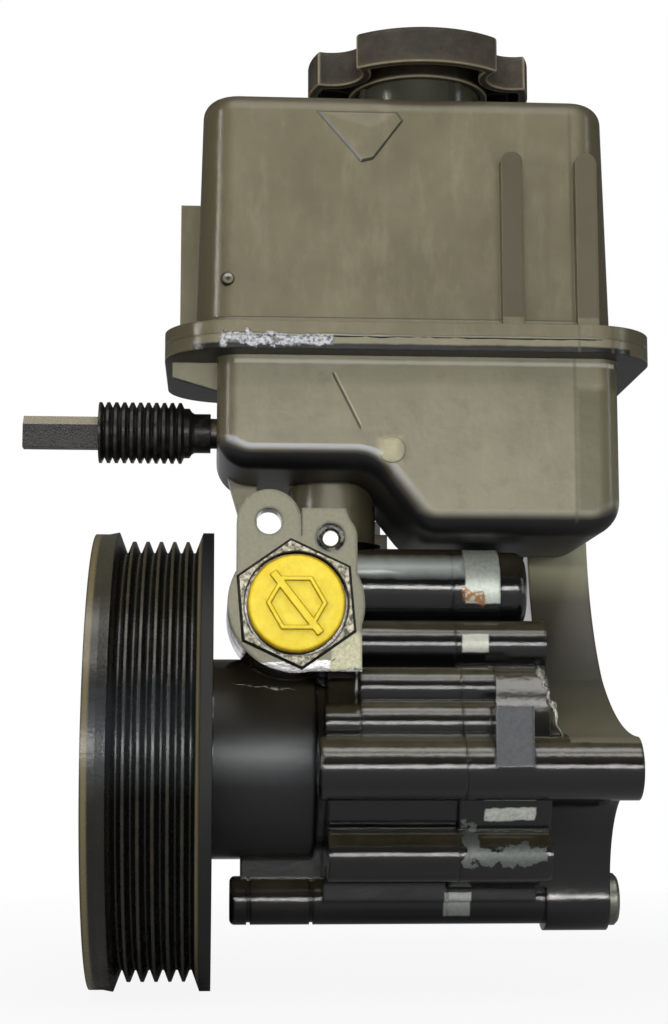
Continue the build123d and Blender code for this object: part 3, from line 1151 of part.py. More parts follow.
# Reservoir, upper shell: drafted hood with ribs, a fin and the filler neck, welded on at the rim
HOOD_W = UPPER_RIGHT_X - UPPER_LEFT_X
HOOD_MIDDLE_X = (UPPER_LEFT_X + UPPER_RIGHT_X) / 2
HOOD_H = TANK_TOP_Z - SEAM_Z
with BuildPart() as reservoir_upper:
    with BuildSketch(level(SEAM_Z)) as hood_outline:
        with Locations((HOOD_MIDDLE_X, TANK_MIDDLE_Y)):
            RectangleRounded(HOOD_W, TANK_DEPTH, UPPER_CORNER_R)
    extrude(amount=HOOD_H, taper=UPPER_DRAFT)
    fillet(reservoir_upper.faces().sort_by(Axis.Z)[-1].edges(), radius=TOP_EDGE_R)
    with BuildSketch(level(SEAM_Z)) as upper_rim:
        with Locations(((RIM_LEFT_X + RIM_RIGHT_X) / 2, (RIM_NEAR_Y + RIM_FAR_Y) / 2)):
            RectangleRounded(RIM_RIGHT_X - RIM_LEFT_X, RIM_FAR_Y - RIM_NEAR_Y, RIM_CORNER_R)
    extrude(amount=RIM_T)
    for rib_x in WALL_RIB_XS:
        with BuildSketch(upright(TANK_NEAR_Y - WALL_RIB_T)) as wall_rib:
            with Locations((rib_x, (RIM_TOP_Z + WALL_RIB_TOP_Z - WALL_RIB_W / 2) / 2)):
                Rectangle(WALL_RIB_W, WALL_RIB_TOP_Z - WALL_RIB_W / 2 - RIM_TOP_Z)
            with Locations((rib_x, WALL_RIB_TOP_Z - WALL_RIB_W / 2)):
                Circle(WALL_RIB_W / 2)
        extrude(amount=2 * WALL_RIB_T, dir=(0, 1, 0))
    with BuildSketch(upright(FIN_Y)) as side_fin:
        with Locations(((FIN_X + HOOD_MIDDLE_X) / 2, (RIM_TOP_Z + FIN_TOP_Z) / 2)):
            Rectangle(HOOD_MIDDLE_X - FIN_X, FIN_TOP_Z - RIM_TOP_Z)
    extrude(amount=FIN_T, dir=(0, 1, 0))
    with BuildSketch(level(TANK_TOP_Z - TANK_WALL)) as filler_neck:
        with Locations((CAP_X, CAP_Y)):
            Circle(FILLER_R)
    extrude(amount=FILLER_TOP_Z - TANK_TOP_Z + TANK_WALL)
    with BuildSketch(level(TANK_TOP_Z - TANK_WALL)) as neck_ribs:
        with Locations((CAP_X, CAP_Y)):
            with PolarLocations(FILLER_R + (FILLER_RIB_T - SINK) / 2, FILLER_RIBS, start_angle=FILLER_RIB_START):
                Rectangle(FILLER_RIB_T + SINK, FILLER_RIB_W)
    extrude(amount=CAP_LOW_Z - TANK_TOP_Z + TANK_WALL - SEAT_GAP)
    with BuildSketch(level(SEAM_Z)) as hood_hollow:
        with Locations((HOOD_MIDDLE_X, TANK_MIDDLE_Y)):
            RectangleRounded(HOOD_W - 2 * TANK_WALL, TANK_DEPTH - 2 * TANK_WALL, UPPER_CORNER_R - TANK_WALL)
    extrude(amount=HOOD_H - TANK_WALL, taper=UPPER_DRAFT, mode=Mode.SUBTRACT)
    with BuildSketch(level(TANK_TOP_Z - 2 * TANK_WALL)) as filler_bore:
        with Locations((CAP_X, CAP_Y)):
            Circle(FILLER_R - FILLER_WALL)
    extrude(amount=FILLER_TOP_Z - TANK_TOP_Z + 2 * TANK_WALL, mode=Mode.SUBTRACT)
save(reservoir_upper, "reservoir_upper")

# Strainer over the suction outlet: gauze drum with a closed top, standing on the tub floor
with BuildPart() as strainer:
    with BuildSketch(level(SHALLOW_Z + TANK_WALL)) as strainer_drum:
        with Locations((SUCTION_X, SUCTION_Y)):
            Circle(STRAINER_R)
            Circle(STRAINER_R - STRAINER_MESH_T, mode=Mode.SUBTRACT)
    extrude(amount=STRAINER_H)
    with BuildSketch(level(SHALLOW_Z + TANK_WALL + STRAINER_H)) as strainer_top:
        with Locations((SUCTION_X, SUCTION_Y)):
            Circle(STRAINER_R)
    extrude(amount=STRAINER_CAP_T)
    with BuildSketch(level(SHALLOW_Z + TANK_WALL)) as strainer_floor:
        with Locations((SUCTION_X, SUCTION_Y)):
            Circle(STRAINER_R)
            Circle(SPIGOT_BORE_R, mode=Mode.SUBTRACT)
    extrude(amount=STRAINER_CAP_T)
save(strainer, "strainer")

# O-ring on the suction spigot
SUCTION_PLANE = Plane(origin=(SUCTION_X, SUCTION_Y, 0), x_dir=(1, 0, 0), z_dir=(0, -1, 0))
with BuildPart() as suction_o_ring:
    with BuildSketch(SUCTION_PLANE) as suction_o_ring_section:
        with Locations((SPIGOT_R + SEAT_GAP - SUCTION_SEAL_R, SUCTION_BOSS_Z - SUCTION_SEAL_DROP)):
            Circle(SUCTION_SEAL_R)
    revolve(axis=Axis((SUCTION_X, SUCTION_Y, 0), (0, 0, 1)))
save(suction_o_ring, "suction_o_ring")

# Hexagon bolts through the reservoir lugs
LUG_TOP_Z = DEEP_Z + LUG_PLATE_T
with BuildPart() as reservoir_bolts:
    with BuildSketch(level(LUG_TOP_Z)) as lug_bolt_washers:
        with Locations(*[(lug_x, LUG_Y) for lug_x in LUG_XS]):
            Circle(LUG_WASHER_R)
    extrude(amount=LUG_WASHER_T)
    with BuildSketch(level(LUG_TOP_Z + LUG_WASHER_T)) as lug_bolt_heads:
        with Locations(*[(lug_x, LUG_Y) for lug_x in LUG_XS]):
            RegularPolygon(LUG_BOLT_FLATS / 2, 6, major_radius=False)
    extrude(amount=LUG_BOLT_HEAD_T)
    with BuildSketch(level(LUG_TOP_Z)) as lug_bolt_shanks:
        with Locations(*[(lug_x, LUG_Y) for lug_x in LUG_XS]):
            Circle(LUG_BOLT_R)
    extrude(amount=-LUG_BOLT_L)
save(reservoir_bolts, "reservoir_bolts")

# Ribbed rubber cap over the return nipple, with a flat pull tab
RIB_PITCH = (RETURN_CAP_REAR_X - RETURN_CAP_NECK_L - RETURN_CAP_FRONT_X) / RETURN_CAP_RIBS
NIPPLE_PLANE = Plane(origin=(0, NIPPLE_Y, NIPPLE_Z), x_dir=(1, 0, 0), z_dir=(0, 0, 1))
NIPPLE_AXIS = Axis((0, NIPPLE_Y, NIPPLE_Z), (1, 0, 0))
with BuildPart() as return_cap:
    with BuildSketch(NIPPLE_PLANE) as return_cap_section:
        with BuildLine():
            cap_points = [(RETURN_CAP_FRONT_X, 0)]
            for rib in range(RETURN_CAP_RIBS):
                rib_x = RETURN_CAP_FRONT_X + rib * RIB_PITCH
                last_rib = rib == RETURN_CAP_RIBS - 1
                rib_r = RETURN_CAP_ROOT_R if last_rib else RETURN_CAP_RIB_R
                root_r = RETURN_CAP_LAST_ROOT_R if last_rib else RETURN_CAP_ROOT_R
                cap_points.append((rib_x, rib_r))
                cap_points.append((rib_x + RIB_PITCH / 3, rib_r))
                cap_points.append((rib_x + RIB_PITCH * 2 / 3, root_r))
            neck_x = RETURN_CAP_REAR_X - RETURN_CAP_NECK_L
            cap_points.append((neck_x, RETURN_CAP_NECK_R))
            cap_points.append((RETURN_CAP_REAR_X, RETURN_CAP_NECK_R))
            cap_points.append((RETURN_CAP_REAR_X, NIPPLE_R + FIT_GAP))
            cap_points.append((NIPPLE_END_X - RETURN_CAP_END_GAP, NIPPLE_R + FIT_GAP))
            cap_points.append((NIPPLE_END_X - RETURN_CAP_END_GAP, 0))
            Polyline(*cap_points, close=True)
        make_face()
    revolve(axis=NIPPLE_AXIS)
    with BuildSketch(across(TAB_END_X)) as tab_section:
        with BuildLine():
            tab_near = NIPPLE_Y - TAB_T / 2
            tab_far = NIPPLE_Y + TAB_T / 2
            tab_low = NIPPLE_Z - TAB_H / 2
            tab_high = NIPPLE_Z + TAB_H / 2
            tab_points = [(tab_near, tab_low), (tab_far, tab_low), (tab_far, tab_high)]
            tab_points += [(tab_near + TAB_BEVEL, tab_high), (tab_near, tab_high - TAB_BEVEL)]
            Polyline(*tab_points, close=True)
        make_face()
    extrude(amount=RETURN_CAP_FRONT_X - TAB_END_X)
save(return_cap, "return_cap")


def lobed(radius, scallop_r):
    """Cap outline with two wide lobes, two narrow ones and a scallop between each pair."""
    with BuildSketch(level(CAP_LOW_Z)) as outline:
        with Locations((CAP_X, CAP_Y)):
            Circle(radius)
            with GridLocations(2 * CAP_SCALLOP_X, 2 * CAP_SCALLOP_Y, 2, 2):
                Circle(scallop_r, mode=Mode.SUBTRACT)
    return outline


# Filler cap: lobed grip rim, hollow below, with a skirt round the filler neck
CAP_DECK_Z = FILLER_TOP_Z + CAP_GASKET_T
with BuildPart() as filler_cap:
    cap_rim = lobed(CAP_R, CAP_SCALLOP_R)
    add(cap_rim.sketch)
    extrude(amount=CAP_TOP_Z - CAP_LOW_Z)
    fillet(filler_cap.faces().sort_by(Axis.Z)[-1].edges(), radius=CAP_EDGE_R)
    rim_hollow = lobed(CAP_R - CAP_WALL, CAP_SCALLOP_R + CAP_WALL)
    add(rim_hollow.sketch)
    extrude(amount=CAP_DECK_Z - CAP_LOW_Z, mode=Mode.SUBTRACT)
    with BuildSketch(level(CAP_LOW_Z)) as cap_skirt:
        with Locations((CAP_X, CAP_Y)):
            Circle(FILLER_R + SEAT_GAP + CAP_SKIRT_WALL)
            Circle(FILLER_R + SEAT_GAP, mode=Mode.SUBTRACT)
    extrude(amount=CAP_DECK_Z - CAP_LOW_Z)
    with BuildSketch(level(CAP_TOP_Z)) as cap_crown:
        with Locations((CAP_X, CAP_Y)):
            Circle(CAP_CROWN_R)
            Circle(CAP_CROWN_R - CAP_WALL, mode=Mode.SUBTRACT)
    extrude(amount=-CAP_CROWN_T, mode=Mode.SUBTRACT)
save(filler_cap, "filler_cap")

# Flat gasket between the filler neck and the cap
with BuildPart() as cap_gasket:
    with BuildSketch(level(FILLER_TOP_Z)) as gasket_ring:
        with Locations((CAP_X, CAP_Y)):
            Circle(FILLER_R)
            Circle(FILLER_R - FILLER_WALL, mode=Mode.SUBTRACT)
    extrude(amount=CAP_GASKET_T)
save(cap_gasket, "cap_gasket")
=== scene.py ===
import math

import bmesh
import bpy
from bpy.props import FloatProperty, FloatVectorProperty, PointerProperty
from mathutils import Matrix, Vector, noise


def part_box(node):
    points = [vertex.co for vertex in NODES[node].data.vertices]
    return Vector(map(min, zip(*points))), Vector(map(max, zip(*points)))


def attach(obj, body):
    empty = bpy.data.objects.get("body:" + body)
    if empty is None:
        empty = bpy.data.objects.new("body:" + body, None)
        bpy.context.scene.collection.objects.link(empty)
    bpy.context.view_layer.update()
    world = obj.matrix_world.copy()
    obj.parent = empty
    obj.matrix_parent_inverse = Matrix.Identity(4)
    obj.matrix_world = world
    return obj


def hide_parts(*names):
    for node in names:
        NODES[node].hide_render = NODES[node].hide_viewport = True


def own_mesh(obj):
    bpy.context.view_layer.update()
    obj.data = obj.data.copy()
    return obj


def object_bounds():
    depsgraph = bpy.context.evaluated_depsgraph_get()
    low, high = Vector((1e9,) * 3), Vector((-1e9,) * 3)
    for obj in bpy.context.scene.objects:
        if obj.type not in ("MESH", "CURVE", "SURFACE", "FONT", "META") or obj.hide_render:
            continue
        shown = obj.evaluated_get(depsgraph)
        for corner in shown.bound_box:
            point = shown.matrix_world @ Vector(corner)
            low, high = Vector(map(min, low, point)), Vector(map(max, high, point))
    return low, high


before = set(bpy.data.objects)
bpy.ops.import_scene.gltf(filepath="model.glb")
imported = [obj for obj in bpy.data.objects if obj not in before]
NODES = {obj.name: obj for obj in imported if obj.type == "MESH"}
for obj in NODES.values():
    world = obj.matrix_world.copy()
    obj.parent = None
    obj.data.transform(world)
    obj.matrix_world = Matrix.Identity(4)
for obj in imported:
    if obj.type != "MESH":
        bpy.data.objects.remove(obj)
CAD_LOW, CAD_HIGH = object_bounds()

bl_info = {
    "name": "Power steering pump looks",
    "version": (1, 0, 0),
    "blender": (4, 5, 0),
    "location": "3D View > Sidebar > Pump",
    "description": "Materials, moulding marks and studio for a belt-driven vane pump with its oil reservoir",
    "category": "Object",
}

MM = 0.001

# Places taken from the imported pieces
HOOD_LOW, HOOD_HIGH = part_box("reservoir_upper")
TUB_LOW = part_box("reservoir_lower")[0]
PULLEY_LOW, PULLEY_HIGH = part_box("pulley")
PLUG_LOW, PLUG_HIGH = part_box("port_plug")
CAP_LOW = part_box("filler_cap")[0]
RETURN_CAP_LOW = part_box("return_cap")[0]
PORT_CENTRE = (PLUG_LOW + PLUG_HIGH) / 2
PORT_FACE_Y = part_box("front_housing")[0].y + 2.9 * MM
SEAM_Z = HOOD_LOW.z

# Reservoir: its rim's height and corners, how far its walls stand behind the rim's near side, the hood's draft, and
# the outline of the hood's foot as left, near, right, far and corner radius
RIM_RISE = 3.6 * MM
RIM_CORNER = 18.0 * MM
WALL_SETBACK = 7.0 * MM
HOOD_DRAFT = math.radians(1.4)
HOOD_FOOT = (-111.1 * MM, -39.0 * MM, -2.2 * MM, 19.0 * MM, 11.0 * MM)


def srgb(code):
    """Linear red, green, blue and alpha of an sRGB hex colour."""
    channels = [int(code[place:place + 2], 16) / 255 for place in (1, 3, 5)]
    return opaque(c / 12.92 if c <= 0.04045 else ((c + 0.055) / 1.055) ** 2.4 for c in channels)


def opaque(colour):
    """Red, green and blue with full alpha."""
    return tuple(colour) + (1.0,)


def per_mm(size):
    """Texture scale for a pattern whose features are this many millimetres across."""
    return 1 / (size * MM)


def add(tree, kind, inputs=(), stops=(), **settings):
    """Adds a shader node. Its inputs come by name or number, or as a row for the first ones. Each is a value, a
    socket, or a node whose live output feeds it. Stops are a ramp's."""
    node = tree.nodes.new("ShaderNode" + kind)
    for name, value in settings.items():
        setattr(node, name, value)
    for name, value in inputs.items() if isinstance(inputs, dict) else enumerate(inputs):
        if isinstance(value, bpy.types.Node):
            value = next(socket for socket in value.outputs if socket.enabled)
        if isinstance(value, bpy.types.NodeSocket):
            tree.links.new(value, node.inputs[name])
        else:
            node.inputs[name].default_value = value
    for index, (place, code) in enumerate(stops):
        ramp = node.color_ramp.elements
        element = ramp[index] if index < len(ramp) else ramp.new(place)
        element.position = place
        element.color = srgb(code)
    return node


def empty_tree(block):
    """The cleared node tree of a material or a world."""
    block.use_nodes = True
    block.node_tree.nodes.clear()
    return block.node_tree


def surface(name, edge=None, samples=4):
    """A new material with its node tree, the position on the part in metres, and the normal where edges look rounded
    by a radius."""
    material = bpy.data.materials.new(name)
    tree = empty_tree(material)
    rounded = add(tree, "Bevel", {"Radius": edge}, samples=samples) if edge else None
    return material, tree, add(tree, "TexCoord").outputs["Object"], rounded


def finish(tree, tone, shine, height, depth, rounded=None, **more):
    """Adds the shader with its colour, its roughness, a relief this deep in millimetres, and what else is named."""
    relief = {"Height": height, "Distance": depth * MM}
    if rounded:
        relief["Normal"] = rounded
    inputs = {"Base Color": tone, "Roughness": shine, "Normal": add(tree, "Bump", relief)}
    inputs.update((name.replace("_", " "), value) for name, value in more.items())
    add(tree, "OutputMaterial", {"Surface": add(tree, "BsdfPrincipled", inputs)})


def cover(tree, tone, *layers):
    """Lays colours over tone in turn. A layer is the node of its share, then its hex colour or a node."""
    for share, colour in layers:
        colour = srgb(colour) if isinstance(colour, str) else colour
        tone = add(tree, "Mix", {0: share, 6: tone, 7: colour}, data_type="RGBA")
    return tone


def tint(tree, tone, source, low, high, most, code):
    """Lays a colour over tone where the source runs from low to high, by this share at most."""
    share = add(tree, "MapRange", (source, low, high, 0.0, most))
    return cover(tree, tone, (share, code))


def patch(tree, position, centre, half, ragged=0.3, edge=0.25, lump=4.0):
    """Node that is 1 inside a box of the frame and 0 outside, with a ragged edge; all in millimetres."""
    offset = add(tree, "VectorMath", (position, [c * MM for c in centre]), operation="SUBTRACT")
    away = add(tree, "VectorMath", {0: offset}, operation="ABSOLUTE")
    past = add(tree, "VectorMath", (away, [h * MM for h in half]), operation="SUBTRACT")
    past = add(tree, "SeparateXYZ", {0: past}).outputs
    wider = add(tree, "Math", (past[1], past[2]), operation="MAXIMUM")
    furthest = add(tree, "Math", (past[0], wider), operation="MAXIMUM")
    lumps = add(tree, "TexNoise", {"Vector": position, "Scale": per_mm(lump), "Detail": 4.0, "Roughness": 0.6})
    wobble = add(tree, "MapRange", (lumps, 0.25, 0.75, -ragged * MM, ragged * MM))
    moved = add(tree, "Math", (wobble, furthest), operation="ADD")
    return add(tree, "MapRange", (moved, -edge * MM, edge * MM, 1.0, 0.0))


def product(tree, *factors):
    """Node that multiplies nodes and values with one another."""
    whole, *others = factors
    for factor in others:
        whole = add(tree, "Math", (whole, factor), operation="MULTIPLY")
    return whole


def distance_from(tree, coordinate, place):
    """Node with the distance of a coordinate from a place along its axis, both in metres."""
    offset = add(tree, "Math", (coordinate, place), operation="SUBTRACT")
    return add(tree, "Math", {0: offset}, operation="ABSOLUTE")


def dress(material, *names):
    """Gives CAD nodes this material."""
    for name in names:
        for material_slot in NODES[name].material_slots:
            material_slot.material = material


# Places on the castings where the enamel is off: centre, half size and raggedness in millimetres, then the colour and
# how much of it is left in the hollows between its grains
BARE_PLACES = (
    ((-35.6, -24.0, 47.5), (4.6, 14.0, 7.4), 0.3, "#C6CEC6", 0.75),
    ((-38.5, -34.0, 29.2), (3.4, 18.0, 2.3), 0.15, "#B2B4AA", 0.8),
    ((-30.6, -34.0, -14.2), (6.4, 18.0, 1.5), 0.5, "#C6CBC5", 0.6),
    ((-30.6, -30.0, -24.6), (8.6, 14.0, 2.1), 2.6, "#5F6664", 0.6),
    ((-40.4, -30.0, -20.8), (2.2, 14.0, 4.6), 2.4, "#676C69", 0.6),
    ((-40.8, -10.0, -38.2), (3.5, 18.0, 3.1), 0.15, "#8A8F8B", 0.75),
    ((-31.9, -47.0, 5.0), (4.6, 8.0, 7.2), 0.3, "#3F4145", 0.7),
    ((-85.5, PORT_FACE_Y / MM - 0.8, 45.2), (19.0, 2.1, 21.9), 0.8, "#716F5F", 0.82),
    ((-72.6, PORT_FACE_Y / MM - 0.8, 25.6), (4.6, 2.1, 4.4), 1.4, "#ABAA8E", 0.5),
)
RUSTY_SPOT = ((-38.0, -26.0, 42.0), (2.4, 14.0, 1.7), 1.9)
# Turned barrel behind the pulley, and painted highlights: pale grey stripes along the valve tube, the bottom tube
# and the barrel where the lamps would shine on them; the last number before a colour is the softness of the edge
BARREL_PLACE = ((-92.0, -15.0, -1.0), (13.6, 13.0, 24.5), 0.0, 0.4)
TUBE_HIGHLIGHTS = (
    ((-56.0, -20.0, 49.6), (15.4, 6.0, 1.8), 0.3, 1.8, "#BCC4C2"),
    ((-88.2, -34.0, -36.6), (7.4, 10.0, 0.9), 0.2, 2.2, "#7C8A90"),
    ((-92.0, -26.0, 0.0), (12.0, 8.0, 1.0), 0.2, 6.5, "#4C555B"),
)
# Edge of the flange, painted lighter towards its top as painted light: its place, the heights in millimetres between
# which its tones follow one another, and those tones
EDGE_SHEEN_PLACE = ((-8.2, -20.0, 33.0), (9.4, 45.0, 29.5), 0.2)
EDGE_FOOT, EDGE_TOP = 4.0, 58.0
EDGE_SHEEN_TONES = (
    (0.0, "#5C5848"), (0.12, "#55523F"), (0.3, "#45443A"), (0.55, "#3A352C"), (0.74, "#4A4639"), (0.86, "#7D7A63"),
    (1.0, "#97977F"),
)


def black_enamel(looks):
    """Stoved black enamel on die-cast aluminium: deep gloss over a faint cast skin, a brownish coat of dust and oil
    with a painted reflection on the upper sides, painted highlights along its tubes, a painted sheen on the
    flange's edge, and dull grey metal where it was filed, knocked or left uncoated."""
    material, tree, position, rounded = surface("stoved_black_enamel", looks.casting_edge)
    skin, waves, pits, blotches = (
        add(tree, "TexNoise", {"Vector": position, "Scale": per_mm(size), "Detail": detail, "Roughness": rough})
        for size, detail, rough in ((1.4, 4.0, 0.6), (11.0, 3.0, 0.5), (1.0, 5.0, 0.75), (6.0, 5.0, 0.7))
    )
    flat = add(tree, "NewGeometry").outputs["Normal"]
    facing = add(tree, "SeparateXYZ", {0: flat}).outputs
    height = add(tree, "SeparateXYZ", {0: position}).outputs[2]

    # Brownish coat on the sides that face up: dust and oil in patches, and a painted reflection of the lit room above
    upward_sheen = add(tree, "MapRange", (facing[2], 0.12, 0.7, 0.0, 0.9))
    patchy = add(tree, "MapRange", (blotches, 0.3, 0.6, 0.6, 1.0))
    dust_and_sheen = product(tree, upward_sheen, patchy)
    tone = cover(tree, opaque(looks.enamel), (dust_and_sheen, "#403B2D"))

    # Painted sheen on the edge of the flange: satin, in a warm olive grey that grows lighter towards its top
    sideways = add(tree, "Math", {0: facing[0]}, operation="ABSOLUTE")
    is_edge = add(tree, "MapRange", (sideways, 0.6, 0.4))
    sheen_band = product(tree, patch(tree, position, *EDGE_SHEEN_PLACE), is_edge)
    climb = add(tree, "MapRange", (height, EDGE_FOOT * MM, EDGE_TOP * MM))
    olive = add(tree, "ValToRGB", {0: climb}, stops=EDGE_SHEEN_TONES)
    tone = cover(tree, tone, (sheen_band, olive))

    # Painted highlights along the tubes and the barrel
    for *place, code in TUBE_HIGHLIGHTS:
        thin = product(tree, patch(tree, position, *place), 0.9)
        tone = cover(tree, tone, (thin, code))

    # Bare metal, with rust on it
    bare = None
    for *place, code, left in BARE_PLACES:
        spot = patch(tree, position, *place)
        hollow = opaque(channel * left for channel in srgb(code)[:3])
        metal = tint(tree, hollow, pits, 0.34, 0.6, 1.0, code)
        tone = cover(tree, tone, (spot, metal))
        bare = add(tree, "Math", (bare, spot), operation="MAXIMUM") if bare else spot
    eaten = add(tree, "MapRange", (pits, 0.4, 0.52))
    rust = product(tree, patch(tree, position, *RUSTY_SPOT), eaten)
    tone = cover(tree, tone, (rust, "#94693C"))

    # Small knocks along the cast edges
    bend = add(tree, "VectorMath", (rounded, flat), operation="DOT_PRODUCT")
    on_edge = add(tree, "MapRange", (bend, 0.985, 0.92))
    knocked = add(tree, "MapRange", (blotches, 0.64, 0.68))
    knocks = product(tree, on_edge, knocked)
    tone = cover(tree, tone, (knocks, "#8C8B82"))

    shine = add(tree, "MapRange", (waves, 0.3, 0.75, 0.08, 0.15))
    for share, rough in ((patch(tree, position, *BARREL_PLACE), 0.4), (sheen_band, 0.42), (bare, 0.46)):
        shine = add(tree, "Mix", {0: share, 2: shine, 3: rough})

    # Bare places are gritty and lie lower than the enamel round them
    grit = add(tree, "Math", (pits, 0.3, -0.2), operation="MULTIPLY_ADD")
    level = product(tree, bare, grit)
    for source, share in ((skin, 0.16), (waves, 0.7)):
        level = add(tree, "Math", (source, share, level), operation="MULTIPLY_ADD")
    metal = product(tree, bare, 0.45)
    finish(tree, tone, shine, level, 0.22, rounded, Metallic=metal, Specular_IOR_Level=0.6)
    return material


# Pulley, in millimetres: radii where the ribs' tips and the flanges begin, the place of the painted highlight on its
# ribs, how far its rear lip begins before its rear end, and the painted highlight lines round its two flanges
TIPS_BEGIN = (57.2, 57.8)
FLANGES_BEGIN = (58.4, 59.2)
RIB_HIGHLIGHT = ((-130.0, -50.0, 6.0), (18.0, 20.0, 9.0), 2.0, 7.0)
REAR_LIP_BEGINS = (4.6, 4.0)
FLANGE_HIGHLIGHT_LINES = (PULLEY_LOW.x + 1.0 * MM, PULLEY_HIGH.x - 3.9 * MM)


def coated_steel(looks):
    """Electro-coated sheet steel of the pulley: satin black, worn to a faint olive brown where the belt has run,
    painted lighter on the sides that face up, with painted highlights on its ribs and round its flanges.
    """
    material, tree, position, rounded = surface("electro_coated_steel", 0.4 * MM)
    across = add(tree, "VectorMath", (position, (0.0, 1.0, 1.0)), operation="MULTIPLY")
    radius = add(tree, "VectorMath", {0: across}, operation="LENGTH")
    along = add(tree, "SeparateXYZ", {0: position}).outputs[0]
    upward = add(tree, "SeparateXYZ", {0: add(tree, "NewGeometry").outputs["Normal"]}).outputs[2]
    streaks, dust, skin = (
        add(tree, "TexNoise", {"Vector": position, "Scale": per_mm(size), "Detail": detail, "Roughness": rough})
        for size, detail, rough in ((7.0, 5.0, 0.7), (1.6, 4.0, 0.7), (0.9, 3.0, 0.5))
    )
    # Painted sheen: the sides that face up are painted a lighter olive, as if lit from above
    tone = tint(tree, opaque(looks.coated_steel), upward, 0.3, 0.95, 0.85, "#413E31")
    tone = tint(tree, tone, dust, 0.66, 0.74, 0.4, "#4A473D")

    tips = add(tree, "MapRange", (radius, TIPS_BEGIN[0] * MM, TIPS_BEGIN[1] * MM))
    wear_and_highlight = add(tree, "MapRange", (streaks, 0.35, 0.65, 0.05, 0.35))
    on_ribs = (radius, FLANGES_BEGIN[0] * MM, FLANGES_BEGIN[1] * MM, 1.0, 0.25)
    worn = product(tree, tips, wear_and_highlight, add(tree, "MapRange", on_ribs))
    lip_start, lip_end = (PULLEY_HIGH.x - before * MM for before in REAR_LIP_BEGINS)
    rear_lip = add(tree, "MapRange", (along, lip_start, lip_end))
    # Painted highlight: the ribs are painted greyer at mid-height where the lamp shines on them
    rib_highlight = patch(tree, position, *RIB_HIGHLIGHT)
    tone = cover(tree, tone, (worn, "#443D2E"), (rib_highlight, "#2E3235"), (rear_lip, "#060607"))
    # Painted highlights: a pale olive line round each flange
    for line_x in FLANGE_HIGHLIGHT_LINES:
        aside = distance_from(tree, along, line_x)
        line = add(tree, "MapRange", (aside, 1.0 * MM, 0.4 * MM, 0.0, 0.75))
        tone = cover(tree, tone, (product(tree, line, tips), "#6E6449"))

    shine = add(tree, "MapRange", (streaks, 0.3, 0.75, 0.2, 0.34))
    shine = add(tree, "Mix", {0: rear_lip, 2: shine, 3: 0.62})
    finish(tree, tone, shine, skin, 0.04, rounded, Specular_IOR_Level=0.4)
    return material


# Places on the reservoir, in millimetres: glossy flash on the rim, with a painted reflection, the filler neck, the
# scratch's ends, the parting lines, and where the painted highlight along the tub's lower edge fades out and is full
MELTED_PLACES = (((-98.0, -46.0, 104.6), (6.6, 3.0, 1.5), 1.6), ((-83.6, -46.0, 104.2), (7.2, 3.0, 1.3), 0.6))
NECK_PLACE = ((-50.9, -12.0, 181.0), (19.5, 19.5, 8.4))
SCRATCH_TOP, SCRATCH_FOOT = (-76.0, 97.5), (-68.5, 82.5)
PARTING_XS = (-13.6, -4.8)
EDGE_HIGHLIGHT_FADES = (-52.0, -66.0)
# Fronts of the wall ribs, painted shade along the rim's lower edge, a painted highlight line below the rim, a painted
# highlight on the ejector mark and the tub's right end: centre, half size and softness in millimetres, then the
# colour
TINTS_AND_PAINTED_LIGHT = (
    ((-29.6, -43.6, 134.4), (2.7, 3.8, 22.4), 0.2, "#4B4636"),
    ((-10.2, -43.6, 134.4), (2.7, 3.8, 22.4), 0.2, "#504B3A"),
    # Painted shade on the rim's lower edge
    ((-55.0, -46.0, 102.1), (64.0, 3.4, 1.3), 0.25, "#0C0D10"),
    # Painted highlight: a pale line below the rim
    ((-52.0, -38.0, 100.2), (49.0, 2.6, 0.5), 0.25, "#9C9B8D"),
    # Painted highlight on the ejector mark
    ((-61.6, -39.6, 77.6), (2.6, 1.1, 2.8), 1.2, "#9A9678"),
    ((-5.6, -39.0, 78.0), (7.6, 4.0, 16.0), 0.9, "#57543F"),
)


def scratch(tree, position, place):
    """Nodes for the long scratch down the tub's front: its dark cut and the pale burr beside it."""
    (top_x, top_z), (foot_x, foot_z) = SCRATCH_TOP, SCRATCH_FOOT
    lean = (foot_x - top_x) / (foot_z - top_z)
    upright = add(tree, "Math", (place[2], -lean, place[0]), operation="MULTIPLY_ADD")
    aside = add(tree, "Math", (upright, (top_x - lean * top_z) * MM), operation="SUBTRACT")
    middle = ((top_x + foot_x) / 2, -39.0, (top_z + foot_z) / 2)
    span = patch(tree, position, middle, ((foot_x - top_x) / 2, 2.0, (top_z - foot_z) / 2), 0.6)
    beyond = add(tree, "Math", (aside, 0.5 * MM), operation="SUBTRACT")
    cuts = []
    for line, half_width in ((aside, 0.45), (beyond, 0.4)):
        away = add(tree, "Math", {0: line}, operation="ABSOLUTE")
        side = add(tree, "MapRange", (away, half_width * MM, 0.1 * MM))
        cuts.append(product(tree, span, side))
    return cuts


